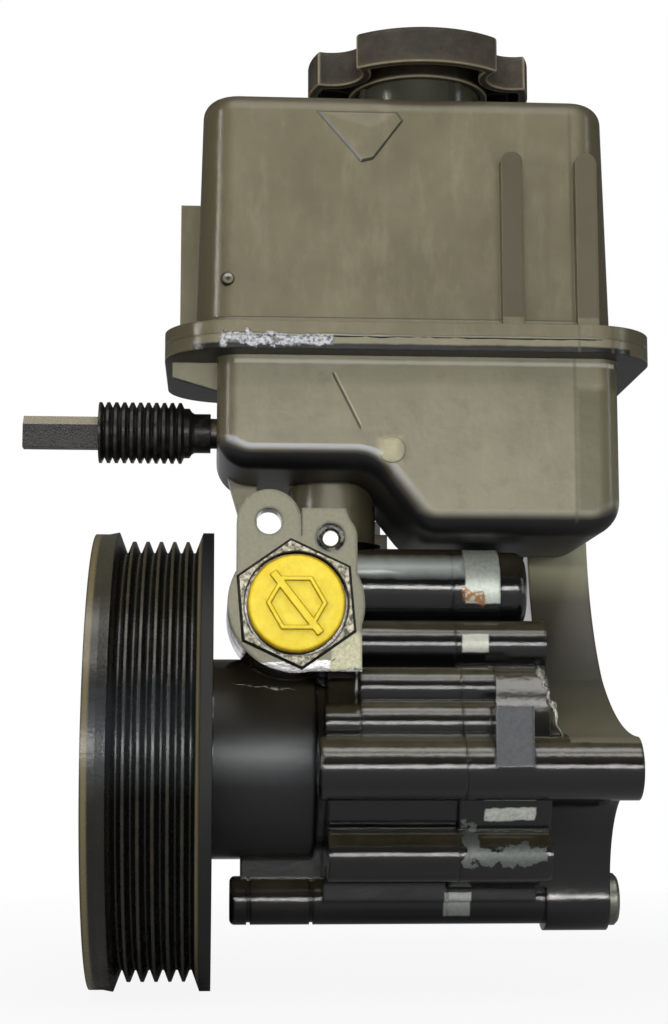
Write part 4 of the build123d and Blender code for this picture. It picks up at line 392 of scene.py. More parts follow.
def moulded_nylon(looks, name, colour, underside_shade):
    """Injection-moulded nylon of the reservoir: satin olive grey with faint flow streaks, painted shade at its
    rounded corners, painted shade near black beneath, and painted highlights and reflections in a few places."""
    material, tree, position, rounded = surface(name, looks.moulding_edge)
    place = add(tree, "SeparateXYZ", {0: position}).outputs
    facing = add(tree, "SeparateXYZ", {0: add(tree, "NewGeometry").outputs["Normal"]}).outputs
    drawn = add(tree, "Mapping", {"Vector": position, "Scale": (1.0, 1.0, 0.3)})
    cloud, mottle, specks, runs = (
        add(tree, "TexNoise", {"Vector": vector, "Scale": per_mm(size), "Detail": detail, "Roughness": rough})
        for vector, size, detail, rough in (
            (position, 26.0, 4.0, 0.6), (position, 5.0, 4.0, 0.6), (position, 1.1, 3.0, 0.7), (drawn, 4.5, 5.0, 0.65)
        )
    )

    shade = add(tree, "MapRange", (cloud, 0.35, 0.65))
    deep = opaque(channel * 0.8 for channel in colour)
    tone = cover(tree, deep, (shade, opaque(colour)))
    tone = tint(tree, tone, runs, 0.5, 0.8, 0.35, "#8A8670")
    tone = tint(tree, tone, mottle, 0.56, 0.72, 0.4, "#5D594A")
    tone = tint(tree, tone, specks, 0.7, 0.78, 0.22, "#98947F")

    # Painted shade at the corners, darker faces that turn up, tinted places with painted shade and highlights, and
    # painted shade on the faces that turn down
    # Painted shade: the walls are painted darker where they turn sideways at the rounded corners
    sideways = add(tree, "Math", {0: facing[0]}, operation="ABSOLUTE")
    corner = add(tree, "MapRange", (sideways, 0.12, 0.6, 0.0, 0.8))
    tone = cover(tree, tone, (corner, "#3C3728"))
    tone = tint(tree, tone, facing[2], 0.15, 0.5, 0.75, "#403A2D")
    for centre, half, edge, code in TINTS_AND_PAINTED_LIGHT:
        tinted = patch(tree, position, centre, half, edge / 2, edge)
        tone = cover(tree, tone, (tinted, code))
    # Painted shade: the faces that turn down are painted near black
    under_shade = add(tree, "MapRange", (facing[2], -0.08, -0.42))
    tone = cover(tree, tone, (under_shade, underside_shade))

    # Painted highlight: a pale bluish line where the front turns down
    wear_and_highlight = add(tree, "MapRange", (facing[2], -0.05, -0.1, 0.0, 0.6))
    fade_start, fade_end = (x * MM for x in EDGE_HIGHLIGHT_FADES)
    limits = (
        (facing[2], -0.3, -0.16),
        (facing[1], -0.7, -0.9),
        (place[0], fade_start, fade_end, 0.15, 1.0),
    )
    wear_and_highlight = product(tree, wear_and_highlight, *(add(tree, "MapRange", limit) for limit in limits))
    neck = patch(tree, position, *NECK_PLACE)
    tone = cover(tree, tone, (wear_and_highlight, "#A9ACB6"), (neck, "#3B3C32"))

    # Flash on the rim: glossy, with a pale grey painted reflection on it
    melted = None
    for centre, half, ragged in MELTED_PLACES:
        spot = patch(tree, position, centre, half, ragged, 0.3, 2.6)
        melted = add(tree, "Math", (melted, spot), operation="MAXIMUM") if melted else spot
    flash_reflection = tint(tree, srgb("#5E6068"), specks, 0.4, 0.56, 1.0, "#B3B4B8")
    tone = cover(tree, tone, (melted, flash_reflection))

    # Scratch, and the mould's parting lines beside the right edge
    dark_cut, pale_burr = scratch(tree, position, place)
    tone = cover(tree, tone, (pale_burr, "#97937F"), (dark_cut, "#3F3B2D"))
    front = add(tree, "MapRange", (facing[1], -0.8, -0.95))
    for parting_x in PARTING_XS:
        away = distance_from(tree, place[0], parting_x * MM)
        line = add(tree, "MapRange", (away, 0.6 * MM, 0.2 * MM, 0.0, 0.5))
        tone = cover(tree, tone, (product(tree, line, front), "#4F4B3B"))

    shine = add(tree, "MapRange", (cloud, 0.3, 0.7, 0.3, 0.42))
    for share, rough in ((corner, 0.16), (under_shade, 0.45), (melted, 0.22)):
        shine = add(tree, "Mix", {0: share, 2: shine, 3: rough})
    swell = add(tree, "Math", (melted, 2.4, 0.14), operation="MULTIPLY_ADD")
    level = product(tree, mottle, swell)
    for source, share in ((specks, 0.1), (cloud, 1.6), (dark_cut, -0.8)):
        level = add(tree, "Math", (source, share, level), operation="MULTIPLY_ADD")
    finish(tree, tone, shine, level, 0.25, rounded, Specular_IOR_Level=0.35)
    return material


def grained_plastic(looks):
    """Glass-filled polypropylene of the filler cap: dull brown black, a fine spark-eroded grain drawn twice as coarse
    as life so that it shows, brown grease on the lower edge of its grip, and pale rounded edges, worn and with a
    painted highlight."""
    material, tree, position, rounded = surface("spark_grained_polypropylene", 1.4 * MM, samples=8)
    sparks = add(tree, "TexNoise", {"Vector": position, "Scale": per_mm(0.5), "Detail": 2.0})
    dust = add(tree, "TexNoise", {"Vector": position, "Scale": per_mm(9.0), "Detail": 5.0, "Roughness": 0.7})
    height = add(tree, "SeparateXYZ", {0: position}).outputs[2]
    flat = add(tree, "NewGeometry").outputs["Normal"]
    bend = add(tree, "VectorMath", (rounded, flat), operation="DOT_PRODUCT")
    tone = tint(tree, opaque(looks.cap_plastic), dust, 0.42, 0.7, 0.5, "#514A3D")
    tone = tint(tree, tone, height, CAP_LOW.z + 2.2 * MM, CAP_LOW.z, 0.4, "#4C4232")
    # Rounded edges painted pale: wear, and a painted highlight
    tone = tint(tree, tone, bend, 0.99, 0.88, 0.7, "#A0967E")
    shine = add(tree, "MapRange", (sparks, 0.3, 0.7, 0.42, 0.6))
    finish(tree, tone, shine, sparks, 0.12, rounded, Specular_IOR_Level=0.22)
    return material


# How far the return cap's tab reaches from its left end, in millimetres, and where its rubber is as black as the rest
TAB_END, TAB_FADED = 19.7, 20.3


def soft_rubber(name, colour, gloss, tab_lit_colour=None):
    """Moulded nitrile rubber: near black and dull with a bloom that greys it in patches; on a tab the faces that turn
    up are painted lighter as painted light.
    """
    material, tree, position, rounded = surface(name, 0.3 * MM)
    bloom = add(tree, "TexNoise", {"Vector": position, "Scale": per_mm(3.5), "Detail": 5.0, "Roughness": 0.7})
    skin = add(tree, "TexNoise", {"Vector": position, "Scale": per_mm(0.6), "Detail": 3.0})
    tone = tint(tree, srgb(colour), bloom, 0.46, 0.72, 0.5, "#47443C")
    if tab_lit_colour:
        along = add(tree, "SeparateXYZ", {0: position}).outputs[0]
        upward = add(tree, "SeparateXYZ", {0: add(tree, "NewGeometry").outputs["Normal"]}).outputs[2]
        faded, ends = RETURN_CAP_LOW.x + TAB_FADED * MM, RETURN_CAP_LOW.x + TAB_END * MM
        on_tab = add(tree, "MapRange", (along, faded, ends))
        # Painted light: the tab's faces that turn up are painted lighter
        tab_top_light = add(tree, "MapRange", (upward, 0.1, 0.5, 0.0, 0.9))
        tab_top_light = product(tree, tab_top_light, on_tab)
        tone = cover(tree, tone, (tab_top_light, tab_lit_colour))
    shine = add(tree, "MapRange", (bloom, 0.4, 0.7, gloss, gloss + 0.2))
    finish(tree, tone, shine, skin, 0.06, rounded, Specular_IOR_Level=0.28)
    return material


# Depths behind the yellow plug's near end, in millimetres, between which its stem turns darker: painted shade in
# the port's recess
STEM_SHADE_BEGINS = (2.4, 4.0)


def yellow_polyethylene(looks):
    """Soft yellow polyethylene of the plug: waxy, with ochre dirt beside its raised lines and painted shade on its
    stem in the port's recess.
    """
    material, tree, position, rounded = surface("yellow_polyethylene", 0.7 * MM, samples=8)
    depth = add(tree, "SeparateXYZ", {0: position}).outputs[1]
    flat_y = add(tree, "SeparateXYZ", {0: add(tree, "NewGeometry").outputs["Normal"]}).outputs[1]
    smear = add(tree, "TexNoise", {"Vector": position, "Scale": per_mm(3.0), "Detail": 5.0, "Roughness": 0.7})
    wax = add(tree, "TexNoise", {"Vector": position, "Scale": per_mm(1.2), "Detail": 3.0})
    rounded_y = add(tree, "SeparateXYZ", {0: rounded}).outputs[1]
    tone = tint(tree, opaque(looks.plug_yellow), smear, 0.38, 0.66, 0.5, "#D0AE14")
    turned = add(tree, "MapRange", (rounded_y, -0.97, -0.75))
    steep = add(tree, "MapRange", (flat_y, -0.9, -0.4))
    lined = add(tree, "Math", (turned, steep), operation="MAXIMUM")
    patchy = add(tree, "MapRange", (smear, 0.3, 0.6, 0.6, 1.0))
    dirty = product(tree, lined, patchy)
    tone = cover(tree, tone, (dirty, "#8A6A0C"))
    # Painted shade on the stem inside the port's recess
    stem_start, stem_end = (PLUG_LOW.y + behind * MM for behind in STEM_SHADE_BEGINS)
    tone = tint(tree, tone, depth, stem_start, stem_end, 0.7, "#7A6210")
    shine = add(tree, "MapRange", (smear, 0.3, 0.7, 0.32, 0.5))
    waxy = {"Specular_IOR_Level": 0.35, "Subsurface_Weight": 0.08, "Subsurface_Scale": 1.0 * MM}
    finish(tree, tone, shine, wax, 0.12, rounded, **waxy)
    return material


def worked_metal(name, colour, stain, line, rough):
    """Turned or ground metal: fine marks round the part, drawn coarse enough to show, and a thin stain of old oil."""
    material, tree, position, rounded = surface(name, 0.25 * MM)
    squeezed = add(tree, "Mapping", {"Vector": position, "Scale": (1.0, 0.06, 0.06)})
    marks = add(tree, "TexNoise", {"Vector": squeezed, "Scale": per_mm(line), "Detail": 3.0})
    oil = add(tree, "TexNoise", {"Vector": position, "Scale": per_mm(4.0), "Detail": 5.0, "Roughness": 0.7})
    tone = tint(tree, srgb(colour), oil, 0.45, 0.72, 0.6, stain)
    shine = add(tree, "MapRange", (marks, 0.3, 0.7, rough, rough + 0.16))
    finish(tree, tone, shine, marks, 0.03, rounded, Metallic=1.0)
    return material


def broken_metal(name, colour, dark):
    """Torn and scuffed cast aluminium of the flash and the port's rim: bright grains with dark grease between."""
    material, tree, position, rounded = surface(name, 0.3 * MM)
    grains = add(tree, "TexNoise", {"Vector": position, "Scale": per_mm(1.3), "Detail": 5.0, "Roughness": 0.75})
    tone = tint(tree, srgb(dark), grains, 0.4, 0.58, 1.0, colour)
    shine = add(tree, "MapRange", (grains, 0.3, 0.7, 0.5, 0.28))
    finish(tree, tone, shine, grains, 0.25, rounded, Metallic=0.6)
    return material


def gauze():
    """Woven nylon gauze of the strainer: off-white threads drawn coarser than life so the weave still shows."""
    material, tree, position, _ = surface("woven_nylon_gauze")
    weave = add(tree, "TexVoronoi", {"Vector": position, "Scale": per_mm(0.8)})
    tone = tint(tree, srgb("#C9C2AC"), weave, 0.2, 0.6, 1.0, "#6F6A5A")
    shine = add(tree, "MapRange", (weave, 0.0, 0.7, 0.4, 0.7))
    finish(tree, tone, shine, weave, 0.3, Specular_IOR_Level=0.4)
    return material


def mesh_piece(name, shape, material, smooth=False):
    """Links a new piece made from a bmesh, riding on the pump's body."""
    bmesh.ops.recalc_face_normals(shape, faces=shape.faces)
    mesh = bpy.data.meshes.new(name)
    shape.to_mesh(mesh)
    shape.free()
    for polygon in mesh.polygons:
        polygon.use_smooth = smooth
    piece = bpy.data.objects.new(name, mesh)
    bpy.context.scene.collection.objects.link(piece)
    mesh.materials.append(material)
    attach(piece, "pump_body")
    return piece


def ring_of(shape, centre, first, second, radii, sides):
    """Adds one ring of vertices round a centre, in the plane of two directions."""
    ring = []
    for side in range(sides):
        turn = 2 * math.pi * side / sides
        spot = centre + first * math.cos(turn) * radii[0] + second * math.sin(turn) * radii[1]
        ring.append(shape.verts.new(spot))
    return ring


def join_rings(shape, rings, closed):
    """Skins neighbouring rings with quads, and caps the ends of an open row."""
    count = len(rings) if closed else len(rings) - 1
    for index in range(count):
        near, far = rings[index], rings[(index + 1) % len(rings)]
        for side in range(len(near)):
            after = (side + 1) % len(near)
            shape.faces.new((near[side], near[after], far[after], far[side]))
    if not closed:
        shape.faces.new(list(reversed(rings[0])))
        shape.faces.new(rings[-1])


def rounded_loop(low_x, high_x, low_y, high_y, radius, step):
    """Points and outward directions round a rectangle with rounded corners."""
    corners = (
        (high_x - radius, low_y + radius, -math.pi / 2),
        (high_x - radius, high_y - radius, 0.0),
        (low_x + radius, high_y - radius, math.pi / 2),
        (low_x + radius, low_y + radius, math.pi),
    )
    points = []
    for index, (x, y, start) in enumerate(corners):
        arc_steps = max(4, int(radius * math.pi / 2 / step))
        for part in range(arc_steps + 1):
            turn = start + math.pi / 2 * part / arc_steps
            outward = Vector((math.cos(turn), math.sin(turn), 0.0))
            points.append((Vector((x, y, 0.0)) + outward * radius, outward))
        begin, outward = points[-1]
        next_x, next_y, next_start = corners[(index + 1) % 4]
        next_out = Vector((math.cos(next_start), math.sin(next_start), 0.0))
        end = Vector((next_x, next_y, 0.0)) + next_out * radius
        runs = max(2, int((end - begin).length / step))
        for part in range(1, runs):
            points.append((begin.lerp(end, part / runs), outward))
    return points


def weld_bead(looks, material):
    """Flash squeezed out of the hot-plate weld between the two shells, a lumpy line round the rim."""
    shape = bmesh.new()
    rings = []
    radius = looks.bead_radius
    side_inset, front_inset = radius * 1.8, radius * 0.6
    upward, shift = Vector((0.0, 0.0, 1.0)), Vector((9.0, 0.0, 0.0))
    low_x, high_x = HOOD_LOW.x + side_inset, HOOD_HIGH.x - side_inset
    low_y, high_y = HOOD_LOW.y + front_inset, HOOD_HIGH.y - front_inset
    for spot, outward in rounded_loop(low_x, high_x, low_y, high_y, RIM_CORNER, 1.6 * MM):
        swell = 1 + 0.45 * noise.noise(spot * per_mm(4.0)) + 0.25 * noise.noise(spot * per_mm(1.5))
        drift = 0.35 * radius * noise.noise(spot * per_mm(7.0) + shift)
        radii = (radius * swell, radius * 1.25 * swell)
        rings.append(ring_of(shape, spot + upward * (SEAM_Z + drift), outward, upward, radii, 8))
    join_rings(shape, rings, True)
    return mesh_piece("weld_bead", shape, material, smooth=True)


def ragged_line(name, path, thin, thick, material):
    """Torn flash along a path: a line of metal that swells and thins between two widths in millimetres, half sunk in
    what carries it. The path holds places and the ways out from the surface there."""
    shape = bmesh.new()
    rings = []
    for index, (spot, out) in enumerate(path):
        before, after = path[max(0, index - 1)][0], path[min(len(path) - 1, index + 1)][0]
        along = (after - before).normalized()
        across = along.cross(out).normalized()
        coarse = 0.5 + 0.5 * noise.noise(spot * per_mm(3.2))
        fine = 0.5 + 0.5 * noise.noise(spot * per_mm(1.1) + Vector((3.0, 7.0, 1.0)))
        taper = min(1.0, 4 * index / len(path), 4 * (len(path) - 1 - index) / len(path))
        width = (thin + (thick - thin) * coarse * coarse * (0.6 + 0.8 * fine)) * MM * max(taper, 0.15)
        drift = across * 0.9 * MM * noise.noise(spot * per_mm(2.4) + Vector((0.0, 5.0, 2.0)))
        rings.append(ring_of(shape, spot + drift, across, out, (width, width * 0.55), 7))
    join_rings(shape, rings, False)
    return mesh_piece(name, shape, material)


# Torn flash as lines on a round about the shaft: places along x and angles above the near side, and the radius. One
# line runs down the joint between the body and the flange, the other on the barrel along the foot of the port's boss
JOINT_PLACES, JOINT_RADIUS = ((-28.0, 73.0), (-22.7, 49.0), (-20.1, 26.7), (-17.8, 8.0)), 34.5
BARREL_LINE, BARREL_RADIUS = ((-101.0, 46.0), (-84.0, 40.5)), 26.6
# Flash round the port's face, from one angle to the other
PORT_FLASH_RADIUS, PORT_FLASH_FROM, PORT_FLASH_TO, PORT_FLASH_STEPS = 16.7, -128.0, -40.0, 39


def body_path(places, radius, steps):
    """Path from place to place on a round about the shaft, with this many steps between two, and its end."""
    path = []
    for (x, angle), (next_x, next_angle) in zip(places, places[1:]):
        for part in range(steps + 1):
            share = part / steps
            turn = math.radians(angle + (next_angle - angle) * share)
            out = Vector((0.0, -math.cos(turn), math.sin(turn)))
            path.append((Vector(((x + (next_x - x) * share) * MM, 0.0, 0.0)) + out * radius * MM, out))
        end = path.pop()
    return path, end


def port_path():
    """Path round the lower half of the port's face."""
    centre = Vector((PORT_CENTRE.x, PORT_FACE_Y + 0.4 * MM, PORT_CENTRE.z))
    path = []
    for part in range(PORT_FLASH_STEPS + 1):
        share = part / PORT_FLASH_STEPS
        turn = math.radians(PORT_FLASH_FROM + (PORT_FLASH_TO - PORT_FLASH_FROM) * share)
        out = Vector((math.cos(turn), -0.4, math.sin(turn))).normalized()
        reach = Vector((math.cos(turn), 0.0, math.sin(turn))) * PORT_FLASH_RADIUS * MM
        path.append((centre + reach, out))
    return path


# Rings round an axis along Y: radius, depth towards the near side in millimetres, and whether that ring is a hexagon
# across its flats or a circle
PORT_RIM = ((12.9, -0.8, False), (12.9, 1.0, False), (13.1, 1.3, False), (13.5, 1.3, True), (13.5, -0.2, True))
PORT_BEVEL = ((13.4, -0.2, True), (13.4, 1.15, True), (14.0, 0.4, True), (14.3, -0.2, True))
PORT_RIM_TURN = math.radians(95.0)
GATE_PIP = ((0.5, -0.5, False), (0.5, 0.25, False), (1.3, 0.35, False), (2.0, -0.5, False))
GATE_X, GATE_Z = -102.8 * MM, 121.7 * MM
# Mark that an ejector pin left on the tub's front, and how much prouder its right side stands than its middle
EJECTOR_MARK = ((3.5, -0.72, False), (3.4, 0.28, False), (3.0, 0.28, False))
EJECTOR_X, EJECTOR_Z, EJECTOR_TILT = -60.8 * MM, 77.6 * MM, 0.42


def faced_ring(name, centre, profile, corner_turn, material, sides=72, tilt=None):
    """Ring round an axis along Y, from one of the profiles above, whose hexagons are turned to this angle. With a
    tilt in millimetres it is a disc that stands prouder on its right."""
    shape = bmesh.new()
    rings = []
    for radius, height, hexagon in profile:
        ring = []
        for side in range(sides):
            turn = 2 * math.pi * side / sides
            off_flat = (turn - corner_turn) % (math.pi / 3) - math.pi / 6
            reach = (radius / math.cos(off_flat) if hexagon else radius) * MM
            proud = height + (tilt or 0.0) * math.cos(turn)
            around = Vector((math.cos(turn) * reach, -proud * MM, math.sin(turn) * reach))
            ring.append(shape.verts.new(centre + around))
        rings.append(ring)
    join_rings(shape, rings, tilt is None)
    return mesh_piece(name, shape, material)


def hood_wall_y(z):
    """Place of the hood's near wall, which leans back by its draft, at a height."""
    return HOOD_LOW.y + WALL_SETBACK + (z - SEAM_Z) * math.tan(HOOD_DRAFT)


# Plain triangle in the hood's front: its middle and top, its outline as shares of its half width and height, the
# shares and rises in millimetres of its rings, and the rise where its facets meet
MARK_X, MARK_TOP_Z = -68.8 * MM, 167.4 * MM
MARK_OUTLINE = ((-1.0, 0.0), (-0.2, 0.0), (0.86, 0.0), (1.0, -0.16), (0.3, -0.94), (0.02, -1.0), (-0.16, -0.82))
MARK_RINGS = ((1.0, -0.5), (0.985, 0.15), (0.9, 0.45))
MARK_PEAK = 1.0


def faceted_triangle(looks, material):
    """Plain triangle moulded in the hood's front: a low raised form whose facets meet off its middle."""
    shape = bmesh.new()
    half, drop = looks.mark_width / 2, looks.mark_height
    middle = Vector((MARK_X + 0.25 * half, 0.0, MARK_TOP_Z - 0.36 * drop))
    rings = []
    for share, raised in MARK_RINGS:
        ring = []
        for across, down in MARK_OUTLINE:
            corner = middle.lerp(Vector((MARK_X + across * half, 0.0, MARK_TOP_Z + down * drop)), share)
            ring.append(shape.verts.new((corner.x, hood_wall_y(corner.z) - raised * MM, corner.z)))
        rings.append(ring)
    join_rings(shape, rings, False)
    shape.faces.ensure_lookup_table()
    hub = bmesh.ops.poke(shape, faces=[shape.faces[-1]])["verts"][0]
    hub.co = (middle.x, hood_wall_y(middle.z) - MARK_PEAK * MM, middle.z)
    return mesh_piece("moulded_triangle", shape, material)


# Section of the step at the foot of the hood's wall, as places out from the wall and up from the rim in millimetres
FOOT_SECTION = ((-1.0, -0.5), (1.0, -0.5), (0.95, 2.2), (0.6, 2.6), (-1.0, 2.6))


def hood_foot(material):
    """Thicker foot of the hood's wall, where it meets the rim: a low step all round."""
    shape = bmesh.new()
    rings = []
    left, near, right, far, corner = HOOD_FOOT
    for spot, outward in rounded_loop(left, right, near, far, corner, 2.0 * MM):
        base = Vector((spot.x, spot.y, SEAM_Z + RIM_RISE))
        section = [base + outward * out * MM + Vector((0.0, 0.0, up * MM)) for out, up in FOOT_SECTION]
        rings.append([shape.verts.new(corner_spot) for corner_spot in section])
    join_rings(shape, rings, True)
    return mesh_piece("hood_foot", shape, material, smooth=True)


def flow_spring(material):
    """Spring behind the flow spool, as a copy of its node with a mesh of its own, riding on the pump's body."""
    node = NODES["flow_spring"]
    piece = bpy.data.objects.new("flow_spring_coils", node.data.copy())
    piece.matrix_world = node.matrix_world.copy()
    bpy.context.scene.collection.objects.link(piece)
    piece.data.materials.clear()
    piece.data.materials.append(material)
    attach(piece, "pump_body")
    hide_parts("flow_spring")
    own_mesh(piece)
    return piece


COLOUR = {"subtype": "COLOR", "size": 3}
LENGTH = {"unit": "LENGTH", "min": 0.0}
POWER = {"unit": "POWER", "min": 0.0}
FACTOR = {"subtype": "FACTOR", "min": 0.0}


class PumpLooks(bpy.types.PropertyGroup):
    """Sizes and colours of the pump's finishes and of the studio round it."""

    enamel: FloatVectorProperty(
        name="Black enamel", description="Enamel on both castings", default=srgb("#08090B")[:3], **COLOUR
    )
    coated_steel: FloatVectorProperty(
        name="Pulley coat", description="Black coat of the pulley", default=srgb("#0E0E0D")[:3], **COLOUR
    )
    hood_nylon: FloatVectorProperty(
        name="Hood nylon", description="Reservoir's upper shell", default=srgb("#6B6651")[:3], **COLOUR
    )
    tub_nylon: FloatVectorProperty(
        name="Tub nylon", description="Reservoir's lower shell", default=srgb("#7A7661")[:3], **COLOUR
    )
    cap_plastic: FloatVectorProperty(
        name="Cap plastic", description="Filler cap", default=srgb("#29251F")[:3], **COLOUR
    )
    plug_yellow: FloatVectorProperty(
        name="Plug yellow", description="Plug in the pressure port", default=srgb("#DFCB26")[:3], **COLOUR
    )
    casting_edge: FloatProperty(
        name="Casting edge", description="Radius that cast edges look rounded by", default=1.2 * MM, **LENGTH
    )
    moulding_edge: FloatProperty(
        name="Moulding edge", description="Radius that moulded edges look rounded by", default=0.9 * MM, **LENGTH
    )
    bead_radius: FloatProperty(
        name="Weld bead", description="Radius of the weld flash round the rim", default=0.5 * MM, **LENGTH
    )
    mark_width: FloatProperty(
        name="Mark width", description="Width of the hood's plain triangle", default=23.0 * MM, **LENGTH
    )
    mark_height: FloatProperty(
        name="Mark height", description="Height of the hood's plain triangle", default=14.0 * MM, **LENGTH
    )
    key_power: FloatProperty(name="Key light", description="Strip light over the camera", default=5.2, **POWER)
    softbox_power: FloatProperty(name="Softbox", description="Long softbox high in front", default=3.0, **POWER)
    overhead_power: FloatProperty(
        name="Overhead light", description="Soft light above the pump", default=4.0, **POWER
    )
    left_power: FloatProperty(name="Left strip", description="Upright strip on the left", default=4.0, **POWER)
    right_power: FloatProperty(name="Right strip", description="Upright strip on the right", default=1.6, **POWER)
    room_light: FloatProperty(
        name="Room light", description="Even light from the front and the sides", default=0.16, **FACTOR
    )
    back_light: FloatProperty(name="Back light", description="Even light from behind", default=0.8, **FACTOR)
    ceiling: FloatProperty(
        name="Ceiling", description="How bright the room is mirrored off its horizon", default=0.1, **FACTOR
    )


class PUMP_OT_castings(bpy.types.Operator):
    """Enamels the two castings and the valve's end plug, and adds the torn flash and the port's rim"""

    bl_idname = "pump.castings"
    bl_label = "Castings"

    def execute(self, context):
        dress(black_enamel(context.scene.pump_looks), "front_housing", "rear_cover", "valve_end_plug")
        torn = broken_metal("torn_cast_aluminium", "#A9ABA2", "#24241F")
        scuffed = broken_metal("scuffed_port_rim", "#B5B2A0", "#4A463C")
        # Near black hexagonal bevel round the port's rim
        dark_bevel = broken_metal("dark_port_bevel", "#35302E", "#0F0E10")
        ragged_line("casting_flash", body_path(JOINT_PLACES, JOINT_RADIUS, 16)[0], 0.3, 3.0, torn)
        ragged_line("port_flash", port_path(), 0.1, 1.1, torn)
        path, end = body_path(BARREL_LINE, BARREL_RADIUS, 23)
        ragged_line("barrel_flash", [*path, end], 0.2, 0.9, torn)
        face = Vector((PORT_CENTRE.x, PORT_FACE_Y, PORT_CENTRE.z))
        faced_ring("port_rim", face, PORT_RIM, PORT_RIM_TURN, scuffed)
        faced_ring("port_rim_bevel", face, PORT_BEVEL, PORT_RIM_TURN, dark_bevel)
        return {"FINISHED"}


class PUMP_OT_pulley(bpy.types.Operator):
    """Coats the belt pulley"""

    bl_idname = "pump.pulley"
    bl_label = "Belt pulley"

    def execute(self, context):
        dress(coated_steel(context.scene.pump_looks), "pulley")
        return {"FINISHED"}


class PUMP_OT_reservoir(bpy.types.Operator):
    """Colours the reservoir's two shells and adds the weld bead and the moulded marks"""

    bl_idname = "pump.reservoir"
    bl_label = "Oil reservoir"

    def execute(self, context):
        looks = context.scene.pump_looks
        # The last colour is the painted shade on the faces that turn down
        hood = moulded_nylon(looks, "moulded_nylon_hood", looks.hood_nylon, srgb("#15140F"))
        tub = moulded_nylon(looks, "moulded_nylon_tub", looks.tub_nylon, srgb("#0A0B0E"))
        dress(hood, "reservoir_upper")
        dress(tub, "reservoir_lower")
        weld_bead(looks, tub)
        faceted_triangle(looks, hood)
        hood_foot(hood)
        pin = Vector((EJECTOR_X, TUB_LOW.y + WALL_SETBACK, EJECTOR_Z))
        faced_ring("ejector_mark", pin, EJECTOR_MARK, 0.0, tub, 32, EJECTOR_TILT)
        gate = Vector((GATE_X, hood_wall_y(GATE_Z), GATE_Z))
        faced_ring("gate_pip", gate, GATE_PIP, 0.0, hood, sides=24)
        return {"FINISHED"}


class PUMP_OT_caps(bpy.types.Operator):
    """Finishes the filler cap, the ribbed transport cap and the yellow plug"""

    bl_idname = "pump.caps"
    bl_label = "Caps and plug"

    def execute(self, context):
        looks = context.scene.pump_looks
        dress(grained_plastic(looks), "filler_cap")
        dress(soft_rubber("nitrile_cap_rubber", "#151513", 0.3, "#8F8878"), "return_cap")
        dress(yellow_polyethylene(looks), "port_plug")
        return {"FINISHED"}


# Worked metals: name, colour, colour of its oil stain, width of its marks in millimetres, roughness, and its nodes
WORKED_METALS = (
    ("ground_tool_steel", "#A5A5A4", "#7C756A", 0.5, 0.24, (
        "drive_shaft", "pulley_key", "front_port_plate", "rear_port_plate", "cam_ring", "rotor", "flow_spool",
    )),
    ("lapped_bearing_steel", "#BDBDBE", "#8A847B", 0.3, 0.14, (
        "bearing_outer_ring", "bearing_inner_ring", "bearing_balls", "vanes", "dowel_pins",
    )),
    ("zinc_plated_steel", "#76776F", "#45423A", 0.8, 0.34, ("pulley_nut", "locating_sleeve", "reservoir_bolts")),
    ("drawn_spring_steel", "#6E6E70", "#42403B", 0.4, 0.3, ("bearing_circlip",)),
    ("black_oxide_steel", "#242426", "#302B25", 0.8, 0.36, ("housing_bolts",)),
    ("sintered_bronze", "#97733F", "#54422B", 0.6, 0.34, ("shaft_bush", "pilot_bush")),
    ("pressed_aluminium", "#BDBBAF", "#77736A", 0.5, 0.24, ("gallery_plug",)),
)


class PUMP_OT_metal_parts(bpy.types.Operator):
    """Finishes the shaft, the bearing, the vane cartridge and the fasteners, and makes the spring's own piece"""

    bl_idname = "pump.metal_parts"
    bl_label = "Metal parts"

    def execute(self, context):
        for name, colour, stain, line, rough, nodes in WORKED_METALS:
            metal = worked_metal(name, colour, stain, line, rough)
            dress(metal, *nodes)
            if name == "drawn_spring_steel":
                flow_spring(metal)
        return {"FINISHED"}


class PUMP_OT_seals(bpy.types.Operator):
    """Finishes the seals, the cage and the strainer"""

    bl_idname = "pump.seals"
    bl_label = "Seals and strainer"

    def execute(self, context):
        seal = soft_rubber("seal_rubber", "#121212", 0.42)
        dress(seal, "shaft_seal", "cover_o_ring", "valve_plug_seal", "suction_o_ring", "cap_gasket")
        dress(gauze(), "strainer")
        dress(soft_rubber("cage_nylon", "#5B4A2E", 0.4), "bearing_cage")
        return {"FINISHED"}


# Studio, in metres. Mirrored rays see the room white within the first height over or under the horizon, and at the
# ceiling's strength from the second on
HORIZON_HEIGHTS = (0.07, 0.17)
FLOOR_REACH = 6.0
WARM, NEUTRAL, COOL = (1.0, 0.985, 0.95), (1.0, 0.99, 0.97), (0.9, 0.95, 1.0)
CAMERA_PLACE = (-0.10515, -0.5134, -0.00539)
CAMERA_YAW, CAMERA_PITCH = math.radians(3.56), math.radians(8.0)
SENSOR_WIDTH = 36.0
# Focal length for a picture 1024 high whose perspective has a distance of 1900 of the same units
FOCAL_LENGTH = 1900 / 1024 * SENSOR_WIDTH


def area_light(name, place, size, power, colour):
    """A rectangular lamp aimed at the middle of the part."""
    lamp = bpy.data.lights.new(name, "AREA")
    lamp.shape = "RECTANGLE"
    lamp.size, lamp.size_y = size
    lamp.energy = power
    lamp.color = colour
    holder = bpy.data.objects.new(name, lamp)
    holder.location = place
    holder.rotation_euler = ((CAD_LOW + CAD_HIGH) / 2 - Vector(place)).to_track_quat("-Z", "Y").to_euler()
    bpy.context.scene.collection.objects.link(holder)


def ray_kinds(tree):
    """Nodes that are 1 for a ray from the camera, and 1 for a mirrored or transmitted one."""
    ray = add(tree, "LightPath").outputs
    kinds = (ray["Is Glossy Ray"], ray["Is Transmission Ray"])
    return ray["Is Camera Ray"], add(tree, "Math", kinds, operation="MAXIMUM")


